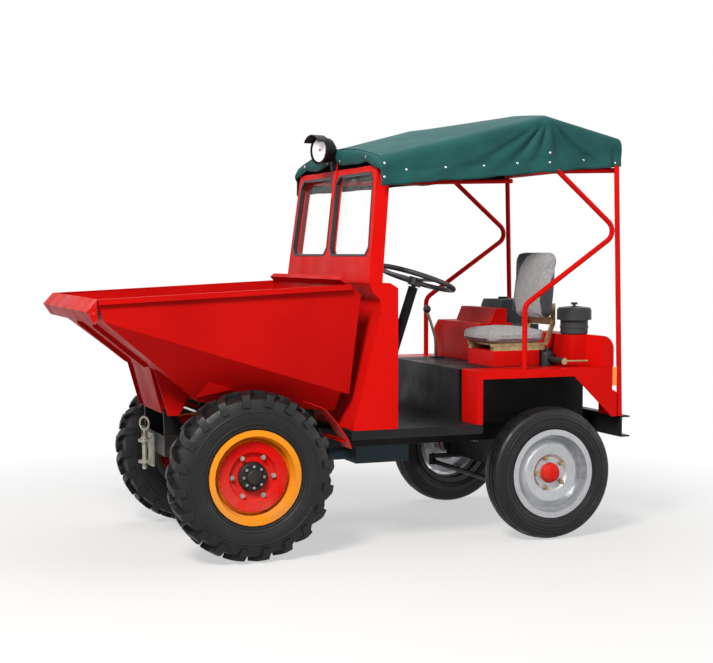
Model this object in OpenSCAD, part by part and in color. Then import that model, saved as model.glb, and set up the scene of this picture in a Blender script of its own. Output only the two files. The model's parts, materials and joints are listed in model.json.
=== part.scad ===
// Site dumper: front-tipping skip, front drive axle, steered rear axle, open driver's place under a canopy.
// Frame: X forward, Y left, Z up, ground at Z = 0, origin at the middle of the footprint. Millimetres.

/* [Overall] */
// Distance between the front and rear axles
wheelbase = 1570; // [1500:5:1680]
// Front axle to the foremost edge of the skip's lip
front_reach = 775; // [740:5:820]
// Front axle to the rear edge of the towing channel
rear_reach = 2045; // [2030:5:2100]
// Width of the scuttle, platform and fenders
body_w = 1230; // [1200:10:1260]
// Thickness of the pressed sheet panels
sheet_t = 5; // [4:0.5:7]

/* [Wheels] */
// Distance between the middles of the front tyres
front_track = 1120; // [1110:5:1150]
// Diameter of the front tyres over the lugs
front_tyre_d = 810; // [780:5:820]
// Section width of the front tyres
front_tyre_w = 205; // [190:5:215]
// Width between the front rim's flanges
front_rim_w = 150; // [130:5:160]
// Height of the tread lugs
lug_h = 24; // [16:1:30]
// Lugs on each shoulder of a front tyre
lug_count = 20; // [14:1:22]
// Distance between the middles of the rear tyres
rear_track = 1190; // [1180:5:1210]
// Diameter of the rear tyres
rear_tyre_d = 676; // [650:2:690]
// Section width of the rear tyres
rear_tyre_w = 148; // [130:2:156]
// Width between the rear rim's flanges
rear_rim_w = 112; // [100:2:120]
// Diameter of the bead seats on every rim
bead_d = 406; // [396:1:412]
// Height of the rim flanges above the bead seats
flange_h = 22; // [16:1:26]

/* [Chassis] */
// Height of the underside of the frame rails
frame_z = 470; // [464:1:480]
// Depth of the frame rails
rail_h = 100; // [90:2:110]
// Width of the rail flanges
rail_w = 50; // [40:2:60]
// Thickness of the rolled steel sections
rail_t = 8; // [6:1:10]
// Width over the two frame rails
rail_span = 500; // [460:10:540]
// Diameter of the front axle tubes
axle_tube_d = 110; // [90:5:120]
// Distance between the kingpins of the rear axle
kingpin_span = 960; // [940:10:980]
// Diameter of the kingpins
kingpin_d = 36; // [28:2:40]
// Length of the steering arms
steer_arm = 150; // [120:5:170]
// Diameter of the hole for the towing pin
tow_hole_d = 32; // [24:1:36]

/* [Skip] */
// Width over the skip's upper side panels
skip_w = 1160; // [1120:10:1180]
// Thickness of the skip's plates
skip_t = 5; // [4:0.5:8]
// Height of the skip's hinge pin above the ground
hinge_z = 690; // [680:2:700]
// Hinge pin ahead of the front axle
hinge_x = 300; // [290:2:310]
// Diameter of the skip's hinge pin
hinge_d = 30; // [24:1:34]
// Width of the rolled flange along the top edge
skip_flange = 22; // [15:1:26]

/* [Driver's place] */
// Height of the platform's top
platform_z = 600; // [592:1:610]
// Height of the deck under the seat
deck_z = 867; // [855:1:875]
// Height of the scuttle, where the windscreen stands on it
scuttle_z = 1310; // [1290:5:1330]
// Height of the windscreen's top edge
screen_top = 1882; // [1860:2:1900]
// Seat's middle to the left of the machine's middle
seat_y = 230; // [200:5:260]
// Diameter of the steering wheel
wheel_d = 430; // [400:5:450]
// Thickness of the steering wheel's ring
wheel_ring = 26; // [20:1:32]

/* [Canopy] */
// Outer diameter of the canopy tubes
tube_d = 27; // [22:1:34]
// Height of the canopy at its middle bow
bow_z = 2146; // [2100:2:2170]
// Height of the canopy's front edge
canopy_front_z = 1925; // [1915:1:1950]
// Height of the canopy's rear edge
canopy_rear_z = 2043; // [2020:1:2060]
// Thickness of the canvas
canvas_t = 6; // [4:0.5:8]

/* [Hidden] */
$fn = 64;

// Running clearance round pins and spindles
run_gap = 0.3;
// Seat clearance between soft or bought-in pieces and what carries them
seat_gap = 0.3;
front_r = front_tyre_d / 2;
rear_r = rear_tyre_d / 2;
front_x = (rear_reach - front_reach) / 2;
rear_x = -wheelbase;
half_w = body_w / 2;
rail_top = frame_z + rail_h;
rail_y = rail_span / 2;
red = [0.80, 0.05, 0.04];
black = [0.06, 0.06, 0.065];
zinc = [0.72, 0.62, 0.42];

// Every piece is drawn with X measured from the front axle, then moved to the part's own origin
module from_front_axle() {
    translate([front_x, 0, 0]) children();
}

// A plate with its outline in X and Z, from y to y + t
module side_plate(outline, y, t) {
    translate([0, y + t, 0]) rotate([90, 0, 0]) linear_extrude(t) polygon(outline);
}

// A plate with its outline in Y and Z, from x to x + t
module cross_plate(outline, x, t) {
    translate([x, 0, 0]) rotate([90, 0, 90]) linear_extrude(t) polygon(outline);
}

// A round bar along Y, from y0 to y1
module cross_bar(d, x, z, y0, y1) {
    translate([x, y1, z]) rotate([90, 0, 0]) cylinder(d = d, h = y1 - y0);
}

module both_sides() {
    children();
    mirror([0, 1, 0]) children();
}

function unit(v) = v / norm(v);
function left_of(a, b) = let (d = unit(b - a)) [-d[1], d[0]];
// Points of an open line moved to its left by t, mitred at the bends
function shifted(points, t) = [for (i = [0 : len(points) - 1])
    let (last = len(points) - 1,
        before = left_of(points[max(i - 1, 0)], points[max(i, 1)]),
        after = left_of(points[min(i, last - 1)], points[min(i + 1, last)]),
        middle = unit(before + after))
    points[i] + middle * t / (middle * before)];
function reversed(list) = [for (i = [len(list) - 1 : -1 : 0]) list[i]];
// Outline of a sheet of thickness t that follows an open line, on its left
function folded(points, t) = concat(points, reversed(shifted(points, t)));
function between(a, b, share) = a + (b - a) * share;

// A solid through a row of like rings, each a list of 3-D points
module skin(rings) {
    n = len(rings[0]);
    last = len(rings) - 1;
    walls = [for (j = [0 : last - 1], i = [0 : n - 1])
        [j * n + i, j * n + (i + 1) % n, (j + 1) * n + (i + 1) % n, (j + 1) * n + i]];
    caps = [[for (i = [n - 1 : -1 : 0]) i], [for (i = [0 : n - 1]) last * n + i]];
    polyhedron([for (ring = rings) each ring], concat(caps, walls));
}

// Points and directions along one bend of radius r, from a towards c round b
function bend(a, b, c, r) = let (u = unit(b - a), v = unit(c - b), turn = acos(u * v),
    inward = unit(v - u * (u * v)),
        centre = b - u * r * tan(turn / 2) + inward * r, steps = ceil(turn / 12))
    [for (k = [0 : steps]) let (t = turn * k / steps)
        [centre - inward * r * cos(t) + u * r * sin(t), u * cos(t) + inward * sin(t)]];

// Flats round a bent tube
tube_sides = 16;

// A round tube that lies in one plane, bent with radius r at each inner point of its path
module bent_tube(path, d, r, normal) {
    last = len(path) - 1;
    stations = [[path[0], unit(path[1] - path[0])],
        for (i = [1 : 1 : last - 1]) each bend(path[i - 1], path[i], path[i + 1], r),
        [path[last], unit(path[last] - path[last - 1])]];
    skin([for (s = stations) [for (k = [0 : 360 / tube_sides : 359])
        s[0] + d / 2 * (normal * cos(k) - cross(s[1], normal) * sin(k))]]);
}

// Chassis
channel_z0 = 500;
channel_z1 = 610;
channel_web_x = -rear_reach + 54;
rail_front_x = 330;
cross_members = [290, -330, -1040, rear_x];
front_spindle_d = 80;
spindle_l = 90;
pinion_x = -230;

module rail() {
    length = rail_front_x - channel_web_x;
    difference() {
        translate([channel_web_x, rail_y - rail_w, frame_z]) cube([length, rail_w, rail_h]);
        translate([channel_web_x - 1, rail_y - rail_w - 1, frame_z + rail_t])
            cube([length + 2, rail_w - rail_t + 1, rail_h - 2 * rail_t]);
    }
}

module chassis_frame() {
    color(black) from_front_axle() {
        difference() {
            union() {
                both_sides() rail();
                for (x = cross_members)
                    translate([x - 25, -rail_y + rail_t, frame_z]) cube([50, rail_span - 2 * rail_t,
                        rail_t]);
                cross_plate([[-rail_y, frame_z], [rail_y, frame_z], [rail_y, rail_top], [-rail_y,
                    rail_top]],
                    rail_front_x, rail_t);
                towing_channel();
            }
            tow_hole();
        }
        ram_foot();
    }
}

module towing_channel() {
    profile = [[-rear_reach, channel_z0], [channel_web_x, channel_z0], [channel_web_x, channel_z1],
        [-rear_reach, channel_z1], [-rear_reach, channel_z1 - rail_t],
        [channel_web_x - rail_t, channel_z1 - rail_t], [channel_web_x - rail_t, channel_z0 + rail_t],
        [-rear_reach, channel_z0 + rail_t]];
    side_plate(profile, -half_w, body_w);
    translate([channel_web_x, -rail_y, frame_z]) cube([30, rail_span, channel_z0 - frame_z + rail_t]);
}

module tow_hole() {
    translate([-rear_reach + 24, 0, channel_z0 - 1]) cylinder(d = tow_hole_d,
        h = channel_z1 - channel_z0 + 2);
}

module front_axle() {
    hub_face = front_track / 2 - 100;
    color(black) from_front_axle() {
        translate([0, -hub_face, front_r]) rotate([-90, 0, 0]) {
            rotate_extrude() polygon([[0, 0], [85, 0], [85, 16], [axle_tube_d / 2, 22],
                [axle_tube_d / 2, hub_face - 190], [130, hub_face - 110], [150, hub_face - 60],
                [150, hub_face + 60], [130, hub_face + 110], [axle_tube_d / 2, hub_face + 190],
                [axle_tube_d / 2, 2 * hub_face - 22], [85, 2 * hub_face - 16], [85, 2 * hub_face], [0,
                    2 * hub_face]]);
            translate([0, 0, -spindle_l]) cylinder(d = front_spindle_d, h = 2 * (hub_face + spindle_l));
        }
        translate([pinion_x, 0, front_r]) rotate([0, 90, 0]) cylinder(d = 100, h = -pinion_x - 40);
        both_sides() translate([-60, rail_y - rail_w, front_r]) cube([120, rail_w, frame_z - front_r]);
    }
}

// Rear axle
axle_eye_h = 84;
axle_eye_d = 62;
knuckle_arm_t = 20;
arm_gap = 1;
rear_beam = 80;
rear_spindle_d = 44;
tie_pin_d = 18;

module rear_axle() {
    king_y = kingpin_span / 2;
    trunnion_top = frame_z - rear_r;
    color(black) from_front_axle() translate([rear_x, 0, rear_r]) difference() {
        union() {
            translate([-rear_beam / 2, -king_y, -rear_beam / 2]) cube([rear_beam, 2 * king_y, rear_beam]);
            both_sides() translate([0, king_y, -axle_eye_h / 2]) cylinder(d = axle_eye_d, h = axle_eye_h);
            cross_plate([[-110, trunnion_top], [-70, 20], [70, 20], [110, trunnion_top]], -45, 90);
        }
        both_sides() {
            translate([0, king_y, -axle_eye_h]) cylinder(d = kingpin_d + 2 * run_gap, h = 2 * axle_eye_h);
        }
    }
}

module knuckle() {
    king_y = kingpin_span / 2;
    half_h = axle_eye_h / 2 + arm_gap;
    spindle_end = rear_track / 2 + 30;
    color(black) from_front_axle() translate([rear_x, 0, rear_r]) {
        for (z = [half_h, -half_h - knuckle_arm_t]) translate([0, king_y, z]) {
            cylinder(d = 76, h = knuckle_arm_t);
            translate([-38, 0, 0]) cube([76, 52, knuckle_arm_t]);
        }
        translate([0, king_y, -half_h - knuckle_arm_t]) cylinder(d = kingpin_d,
            h = 2 * (half_h + knuckle_arm_t));
        translate([-38, king_y + 34, -half_h]) cube([76, 18, 2 * half_h]);
        cross_bar(rear_spindle_d, 0, 0, king_y + 34, spindle_end);
        arm_z = -half_h - knuckle_arm_t;
        difference() {
            union() {
                translate([0, king_y - 20, arm_z]) cube([steer_arm, 40, knuckle_arm_t]);
                translate([steer_arm, king_y, arm_z]) cylinder(d = 44, h = knuckle_arm_t);
            }
            translate([steer_arm, king_y, arm_z - 1]) cylinder(d = tie_pin_d + 2 * run_gap,
                h = knuckle_arm_t + 2);
        }
    }
}

module knuckle_left() { knuckle(); }
module knuckle_right() { mirror([0, 1, 0]) knuckle(); }

// The track rod hangs under the two steering arms on a pin at each end
module tie_rod() {
    king_y = kingpin_span / 2;
    arm_low = rear_r - axle_eye_h / 2 - arm_gap - knuckle_arm_t;
    rod_d = 26;
    color([0.25, 0.25, 0.26]) from_front_axle() translate([rear_x + steer_arm, 0, 0]) {
        cross_bar(rod_d, 0, arm_low - 20, -king_y, king_y);
        both_sides() translate([0, king_y, 0]) {
            translate([0, 0, arm_low - 38]) cylinder(d = 40, h = 37);
            translate([0, 0, arm_low - 2]) cylinder(d = tie_pin_d, h = knuckle_arm_t + 8);
        }
    }
}

// Wheels, drawn along their own axle with the outer side at positive Z
module place_wheel(x, y, z) {
    from_front_axle() translate([x, y, z]) rotate([y > 0 ? -90 : 90, 0, 0]) children();
}

// Half of a tyre's section: bead, side wall and tread, as radius and distance from the middle
function tyre_section(outer_r, width, bead_w, crown) = let (bead_r = bead_d / 2 + seat_gap,
    high = outer_r - bead_r)
    [[bead_r, 0], [bead_r, bead_w / 2 - seat_gap], [bead_r + 0.16 * high, bead_w / 2 - seat_gap],
        [bead_r + 0.34 * high, width * 0.475], [bead_r + 0.5 * high, width / 2], [bead_r + 0.66 * high,
            width * 0.485],
        [bead_r + 0.84 * high, width * 0.44], [outer_r - crown, width * 0.385], [outer_r - crown * 0.3,
            width * 0.2],
        [outer_r, 0]];

module tyre_carcass(outer_r, width, bead_w, crown) {
    half = tyre_section(outer_r, width, bead_w, crown);
    mirrored = [for (i = [len(half) - 2 : -1 : 1]) [half[i][0], -half[i][1]]];
    rotate_extrude() polygon(concat(half, mirrored));
}

// Footprint of one lug on the tread: distance from the tyre's middle and distance along the tread
lug_reach = front_tyre_w / 2 + 8;
lug_footprint = [[-6, -16], [30, 8], [72, 28], [lug_reach, 32], [lug_reach, 68], [66, 64], [24, 44], [-6,
    20]];
shoulder_drop = 12;

module lugs() {
    step = 360 / lug_count;
    for (side = [0, 1], i = [0 : lug_count - 1])
        mirror([0, 0, side]) rotate([0, 0, (i + side / 2) * step]) translate([front_r - 3 * lug_h, 0,
            0]) rotate([0, 90, 0])
            linear_extrude(4 * lug_h) polygon([for (p = lug_footprint) [-p[0], p[1]]]);
}

// Lug tyre: a slimmer carcass under the lugs, which fill the full section
module front_tyre() {
    color([0.07, 0.07, 0.075]) {
        tyre_carcass(front_r - lug_h, front_tyre_w - 10, front_rim_w, shoulder_drop);
        intersection() {
            tyre_carcass(front_r, front_tyre_w, front_rim_w, shoulder_drop);
            lugs();
        }
    }
}

// Ribbed tyre: grooves round the tread and a fine step round each side wall
groove_w = 7;
groove_depth = 9;
module rear_tyre() {
    color([0.07, 0.07, 0.075]) difference() {
        tyre_carcass(rear_r, rear_tyre_w, rear_rim_w, shoulder_drop);
        for (z = [-36, -13, 13, 36]) translate([0, 0, z - groove_w / 2])
            rotate_extrude() translate([rear_r - shoulder_drop * z * z / 3200 - groove_depth,
                0]) square([40, groove_w]);
        for (side = [0, 1]) mirror([0, 0, side])
            rotate_extrude() translate([rear_r - 62, rear_tyre_w / 2 - 2]) square([8, 10]);
    }
}

module front_tyre_left() { place_wheel(0, front_track / 2, front_r) front_tyre(); }
module front_tyre_right() { place_wheel(0, -front_track / 2, front_r) front_tyre(); }
module rear_tyre_left() { place_wheel(rear_x, rear_track / 2, rear_r) rear_tyre(); }
module rear_tyre_right() { place_wheel(rear_x, -rear_track / 2, rear_r) rear_tyre(); }

front_nut_circle = 205;
rear_nut_circle = 155;
front_well = 12;
rear_well = 10;
hub_d = 140;

// Section of a rim: flanges, bead seats and a well, as radius and distance
function rim_section(width, well) = let (seat_r = bead_d / 2, top_r = seat_r + flange_h,
    half = width / 2, t = 6)
    [[seat_r, -half], [top_r, -half], [top_r, -half - t], [seat_r - t, -half - t], [seat_r - well - t,
        -half + 42],
        [seat_r - well - t, half - 42], [seat_r - t, half + t], [top_r, half + t], [top_r, half],
            [seat_r, half], [seat_r, half - 24],
        [seat_r - well, half - 38], [seat_r - well, -half + 38], [seat_r, -half + 24]];

// A ring of wheel nuts of width w across their corners, standing on the face at z
module nuts(count, radius, z, w) {
    for (i = [0 : count - 1]) rotate([0, 0, i * 360 / count]) translate([radius, 0, z - 1]) {
        cylinder(d = w, h = 0.6 * w + 1, $fn = 6);
        cylinder(d = 0.5 * w, h = w + 1, $fn = 24);
    }
}

// Yellow rim with the dished disc that bolts to the hub
module front_rim() {
    weld_r = bead_d / 2 - front_well - 6;
    color([0.95, 0.62, 0.05]) {
        rotate_extrude() polygon(rim_section(front_rim_w, front_well));
        rotate_extrude() polygon(folded([[hub_d / 2 + 1, 12], [hub_d / 2 + 44, 12], [hub_d / 2 + 54, 30],
            [weld_r - 26, 34], [weld_r - 12, 6], [weld_r, 2]], 10));
        nuts(6, front_nut_circle / 2, 22, 24);
    }
}

module front_hub() {
    inner = -front_track / 2 + (front_track / 2 - 100) + 1;
    color(black) difference() {
        union() {
            rotate_extrude() polygon([[0, inner], [88, inner], [88, inner + 22], [hub_d / 2, inner + 30],
                [hub_d / 2, -4],
                [hub_d / 2 + 42, -4], [hub_d / 2 + 42, 12 - seat_gap], [hub_d / 2, 12 - seat_gap],
                    [hub_d / 2, 38],
                [hub_d / 2 - 8, 46], [38, 46], [34, 62], [28, 66], [0, 66]]);
            for (i = [0 : 7]) rotate([0, 0, i * 45]) translate([50, 0, 45]) cylinder(d = 15, h = 9,
                $fn = 6);
        }
        translate([0, 0, inner - 1]) cylinder(d = front_spindle_d + 2 * run_gap, h = spindle_l + 4);
    }
}

module front_rim_left() { place_wheel(0, front_track / 2, front_r) front_rim(); }
module front_rim_right() { place_wheel(0, -front_track / 2, front_r) front_rim(); }
module front_hub_left() { place_wheel(0, front_track / 2, front_r) front_hub(); }
module front_hub_right() { place_wheel(0, -front_track / 2, front_r) front_hub(); }

// Silver rear wheel with its dished disc, hub and cap
module rear_wheel() {
    weld_r = bead_d / 2 - rear_well - 6;
    bore_end = 31;
    color([0.75, 0.76, 0.78]) difference() {
        union() {
            rotate_extrude() polygon(rim_section(rear_rim_w, rear_well));
            rotate_extrude() polygon(folded([[48, 14], [84, 14], [100, 26], [140, 30], [weld_r - 14, 8],
                [weld_r, 4]], 8));
            rotate_extrude() polygon([[0, -50], [46, -50], [46, -10], [52, 8], [52, 26], [46, 28], [46,
                44], [40, 54], [26, 61], [0, 64]]);
            nuts(5, rear_nut_circle / 2, 22, 24);
        }
        translate([0, 0, -60]) cylinder(d = rear_spindle_d + 2 * run_gap, h = 60 + bore_end);
    }
}

module rear_wheel_left() { place_wheel(rear_x, rear_track / 2, rear_r) rear_wheel(); }
module rear_wheel_right() { place_wheel(rear_x, -rear_track / 2, rear_r) rear_wheel(); }

// Drive line
module gearbox() {
    color([0.16, 0.17, 0.18]) from_front_axle() {
        translate([-1010, -110, front_r - 45]) cube([300, 220, frame_z - front_r + 45]);
        translate([-960, -90, frame_z]) cube([220, 180, rail_h]);
        translate([pinion_x - seat_gap, 0, front_r]) rotate([0, -90, 0]) cylinder(d = 70,
            h = 710 + pinion_x);
    }
}

// Engine: crankcase, cylinder block, head and flywheel, on the rails
engine_x0 = -1900;
engine_x1 = -1500;
engine_y0 = -320;
engine_y1 = -20;
engine_top = 1060;
flywheel_t = 30;

module engine() {
    wall = 14;
    color([0.27, 0.33, 0.37]) from_front_axle() {
        translate([engine_x0, engine_y0, rail_top]) cube([engine_x1 - engine_x0, engine_y1 - engine_y0,
            250]);
        translate([engine_x0 + 30, engine_y0 + 30, rail_top + 250])
            cube([engine_x1 - engine_x0 - 60, engine_y1 - engine_y0 - 60, engine_top - rail_top - 250]);
        cross_bar(320, (engine_x0 + engine_x1) / 2, rail_top + 190, engine_y1, engine_y1 + flywheel_t);
        for (z = [rail_top + 270 : 36 : engine_top - 20])
            translate([engine_x0 + 30 - wall, engine_y0 + 30 - wall, z])
                cube([engine_x1 - engine_x0 - 60 + 2 * wall, engine_y1 - engine_y0 - 60 + 2 * wall, 8]);
    }
}

module fuel_tank() {
    tank_w = 250;
    color([0.12, 0.13, 0.14]) from_front_axle() {
        translate([-1915, -400, engine_top]) {
            cube([230, tank_w, 70]);
            translate([115, 0, 70]) rotate([-90, 0, 0]) intersection() {
                cylinder(d = 230, h = tank_w);
                translate([-115, -64, 0]) cube([230, 64, tank_w]);
            }
            translate([115, 60, 120]) cylinder(d = 60, h = 25);
        }
    }
}

// Red stepped cover beside the seat, over the front of the engine: a low box and a narrower tapered top
cover_y0 = -530;
cover_y1 = 20;
cover_x0 = -1670;
cover_x1 = -1450;
cover_low = 1072;
cover_top = 1150;
cover_step = [40, 70];

module cover_form(t) {
    low = [[cover_x1 - t, deck_z - t], [cover_x1 - t, 1030], [cover_x1 - 25, cover_low - t],
        [cover_x0 - t, cover_low - t],
        [cover_x0 - t, deck_z - t]];
    high = [[cover_x1 - 120 - t, cover_low - sheet_t - 1], [cover_x1 - 155 - t, cover_top - t],
        [cover_x0 - t, cover_top - t],
        [cover_x0 - t, cover_low - sheet_t - 1]];
    side_plate(low, cover_y0 + t, cover_y1 - cover_y0 - 2 * t);
    side_plate(high, cover_y0 + cover_step[0] + t,
        cover_y1 - cover_y0 - cover_step[0] - cover_step[1] - 2 * t);
}

module engine_cover() {
    color(red) from_front_axle() difference() {
        cover_form(0);
        cover_form(sheet_t);
    }
}

// Platform: floor, riser and deck in one folded sheet, with side skirts
platform_x0 = -490;
riser_x = -1140;
deck_x1 = -1460;
fender_y = 440;
// Inner walls of the rear wheel arches
wall_x = -1930;
wall_y = 330;

module platform() {
    line = [[platform_x0, platform_z], [riser_x, platform_z], [riser_x, deck_z], [deck_x1, deck_z]];
    color(black) from_front_axle() {
        side_plate(folded(line, sheet_t), -fender_y, 2 * fender_y);
        both_sides() {
            translate([fender_x0 - 33, fender_y, platform_z - sheet_t])
                cube([platform_x0 - fender_x0 + 33, half_w - fender_y, sheet_t]);
            translate([fender_x0 - 33, half_w - sheet_t, platform_z - 45])
                cube([platform_x0 - fender_x0 + 33, sheet_t, 45]);
            translate([riser_x + 20, rail_y - rail_w, rail_top]) cube([600, rail_w,
                platform_z - sheet_t - rail_top]);
        }
        translate([-1760, engine_y1 + 70, deck_z - sheet_t])
            cube([deck_x1 + 1760, fender_y - engine_y1 - 70, sheet_t]);
        translate([-1700, engine_y1 + 70, rail_top]) cube([200, sheet_t, deck_z - rail_top]);
        translate([-1700, rail_y - rail_t, rail_top]) cube([200, rail_t, deck_z - rail_top]);
        both_sides() translate([wall_x, wall_y, rail_top]) cube([riser_x - wall_x, sheet_t,
            deck_z - sheet_t / 2 - rail_top]);
    }
}

// Rear fender: front face, top and an arched side panel
arch_top = 825;
fender_x0 = -1160;
fender_x1 = -1938;
fender_tail_x = -1966;
rear_face = [[fender_tail_x, channel_z1], [fender_tail_x, 735], [fender_x1, 750], [fender_x1, deck_z]];

module fender() {
    side = concat([[fender_x0, platform_z], [fender_x0, deck_z]], reversed(rear_face), [[-1934,
        channel_z1], [-1713, arch_top], [fender_x0 - 33, arch_top], [fender_x0 - 33, platform_z]]);
    color(red) from_front_axle() {
        side_plate(side, half_w - sheet_t, sheet_t);
        translate([fender_x1, fender_y, deck_z - sheet_t]) cube([fender_x0 - fender_x1,
            half_w - fender_y, sheet_t]);
        translate([fender_x0 - sheet_t, fender_y, platform_z]) cube([sheet_t, half_w - fender_y,
            deck_z - platform_z]);
        side_plate(folded(rear_face, -sheet_t), fender_y, half_w - fender_y);
    }
}

module fender_left() { fender(); }
module fender_right() { mirror([0, 1, 0]) fender(); }

// Rear hood: a full-width cover with a round upper rear edge
hood_x0 = -1945;
hood_x1 = -1750;
hood_top = 1030;
hood_r = 70;
// Half-width of the hood ahead of its flush rear corners
hood_shoulder = 510;

module rear_hood() {
    arc = [for (a = [90 : 15 : 180]) [hood_x0 + hood_r + hood_r * cos(a),
        hood_top - hood_r + hood_r * sin(a)]];
    outline = concat([[hood_x1, deck_z], [hood_x1, hood_top]], arc, [[hood_x0, deck_z]]);
    color(red) from_front_axle() difference() {
        side_plate(outline, -half_w, body_w);
        translate([hood_x0 + sheet_t, engine_y0 - 40, deck_z - 1])
            cube([hood_x1 - hood_x0, engine_y1 - engine_y0 + 130, hood_top - deck_z + 50]);
        both_sides() translate([0, 0, deck_z - 1]) linear_extrude(hood_top - deck_z + 2)
            polygon([[hood_x1 + 1, hood_shoulder], [hood_x1 + 1, half_w + 1], [hood_x1 - 130,
                half_w + 1], [hood_x1 - 95, hood_shoulder]]);
    }
}

// Amber lamps on the rear corners, with a round reflector under each
rear_lamp = [28, 66, 95];
rear_lamp_z = 770;
reflector_z = 675;
reflector_r = 40;

module rear_lamps() {
    color([0.95, 0.45, 0.05]) from_front_axle() both_sides()
        union() {
            translate([fender_x1 - rear_lamp[0], half_w - rear_lamp[1] - 4, rear_lamp_z]) cube(rear_lamp);
            translate([fender_tail_x, half_w - 2 * reflector_r - sheet_t, reflector_z]) rotate([0, -90, 0])
                rotate_extrude() polygon([[0, 0], [reflector_r, 0], [reflector_r, 8], [reflector_r - 12, 16],
                    [0, 20]]);
        }
}

// Scuttle: leaning bulkhead with a hollow behind the skip, side panels and dash
scuttle_x0 = -500;
scuttle_x1 = -732;
screen_base_x = -580;
screen_lean = 6.34;
screen_d = 70;
// The sheet's slanting edges stop this far from the platform and the windscreen
foot_room = 1.3;
head_room = 2.3;
bulkhead = [[scuttle_x0, platform_z + foot_room], [-645, 1185], [-640, 1228], [-602, 1262],
    [screen_base_x - 1, scuttle_z - head_room]];

module scuttle() {
    side = concat([[scuttle_x0, platform_z]], bulkhead, [[screen_base_x, scuttle_z], [-690, scuttle_z],
        [scuttle_x1, 1285], [scuttle_x1, platform_z]]);
    color(red) from_front_axle() {
        side_plate(folded(bulkhead, sheet_t), -half_w, body_w);
        both_sides() side_plate(side, half_w - sheet_t, sheet_t);
        side_plate(folded([[screen_base_x - sheet_t, scuttle_z], [-690, scuttle_z], [scuttle_x1, 1285],
            [scuttle_x1, 1150]],
            sheet_t), -half_w + sheet_t, body_w - 2 * sheet_t);
    }
}

// Windscreen frame, drawn flat and leaned back
screen_h = (screen_top - scuttle_z) / cos(screen_lean);
// The frame's foot and head stand in from the body's sides
screen_foot_inset = 2.5;
screen_head_inset = 53;
screen_base_w = body_w - 2 * screen_foot_inset;
screen_top_w = body_w - 2 * screen_head_inset;
window_post = 40;
window_side = 36;
window_head = 30;
window_low = 130;
window_rim = 36;

module lean_back() {
    translate([screen_base_x, 0, scuttle_z]) rotate([0, -screen_lean, 0]) rotate([90, 0, 90]) children();
}

function window_outline(grow) = let (x0 = window_post / 2 - grow,
    x1 = screen_base_w / 2 - window_side - 12 + grow,
        x2 = screen_top_w / 2 - window_side + grow, y0 = window_low - grow,
            y1 = screen_h - window_head + grow, c = 36)
    [[x0 + c, y0], [x1 - c, y0], [x1 - 2, y0 + c], [x2 + 2, y1 - c], [x2 - c, y1], [x0 + c, y1], [x0,
        y1 - c],
        [x0, y0 + c]];

module windscreen_frame() {
    outline = [[-screen_base_w / 2, 0], [screen_base_w / 2, 0], [screen_top_w / 2, screen_h],
        [-screen_top_w / 2, screen_h]];
    inside = [[-screen_base_w / 2 + sheet_t, -1], [screen_base_w / 2 - sheet_t, -1],
        [screen_top_w / 2 - sheet_t, screen_h - sheet_t], [-screen_top_w / 2 + sheet_t,
            screen_h - sheet_t]];
    color(red) from_front_axle() difference() {
        lean_back() {
            translate([0, 0, -screen_d]) linear_extrude(screen_d) difference() {
                polygon(outline);
                polygon(inside);
            }
            translate([0, 0, -window_rim]) linear_extrude(window_rim) for (side = [0, 1]) mirror([side,
                0]) difference() {
                polygon(window_outline(sheet_t));
                polygon(window_outline(0));
            }
            translate([0, 0, -sheet_t]) linear_extrude(sheet_t) difference() {
                polygon(outline);
                for (side = [0, 1]) mirror([side, 0]) polygon(window_outline(0));
            }
        }
        translate([-900, -800, scuttle_z - 100]) cube([500, 1600, 100]);
    }
}

module windscreen_glass() {
    color([0.8, 0.9, 0.9, 0.4]) from_front_axle() lean_back() translate([0, 0, -30]) linear_extrude(6)
        for (side = [0, 1]) mirror([side, 0]) polygon(window_outline(-seat_gap));
}

// Strip mudguards behind the front wheels
module mudguards() {
    line = [[-282, 743], [-350, 715], [-415, 641], [-470, 560], [-487, 517]];
    guard_w = 130;
    guard_y = 500;
    stay_x = -480;
    color(red) from_front_axle() both_sides() {
        side_plate(folded(line, sheet_t), guard_y, guard_w);
        translate([stay_x, rail_y, rail_top - 30]) cube([20, guard_y + guard_w / 2 - rail_y, 12]);
    }
}

// Skip
// Stations of the skip's outer profile in X and Z
skip_floor_front = [200, 745];
skip_floor_rear = [-455, 685];
skip_brow = [693, 1145];
skip_front_top = [726, 1246];
skip_rear_top = [-497, 1304];
skip_crease_rear = [-505, 770];
floor_half_w = (front_track - front_tyre_w) / 2 - 77.5;
crease_rear_y = skip_w / 2 - 40;
lip_nose = [front_reach, 1190];
lip_low = [737, 1134];
flange_rear_x = -553;
side_top_y = skip_w / 2;

function plane_through(a, b, c) = let (n = unit(cross(b - a, c - a))) [n[0], n[1], n[2], n * a];
function y_on(plane, p) = (plane[3] - plane[0] * p[0] - plane[2] * p[1]) / plane[1];
function at_y(p, y) = [p[0], y, p[1]];

upper_side = plane_through(at_y(skip_brow, side_top_y), at_y(skip_crease_rear, crease_rear_y),
    at_y(skip_rear_top, side_top_y));
lower_side = plane_through(at_y(skip_brow, side_top_y), at_y(skip_crease_rear, crease_rear_y),
    at_y(skip_floor_front, floor_half_w));
// Outer y of a side panel, and inner y one plate further in
function inner_y(plane, p) = y_on(plane, p) - skip_t / abs(plane[1]);

// Where two lines meet, each through two points
function meet(a, b, c, d) = let (u = b - a, v = d - c, w = c - a)
    a + u * (w[0] * v[1] - w[1] * v[0]) / (u[0] * v[1] - u[1] * v[0]);
// Where the rear wall crosses the crease
skip_crease_low = meet(skip_rear_top, skip_floor_rear, skip_brow, skip_crease_rear);
skip_line = [skip_rear_top, skip_crease_low, skip_floor_rear, skip_floor_front, skip_brow, skip_front_top];
skip_inside = shifted(skip_line, skip_t);

panel_gap = 0.1;
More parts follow.
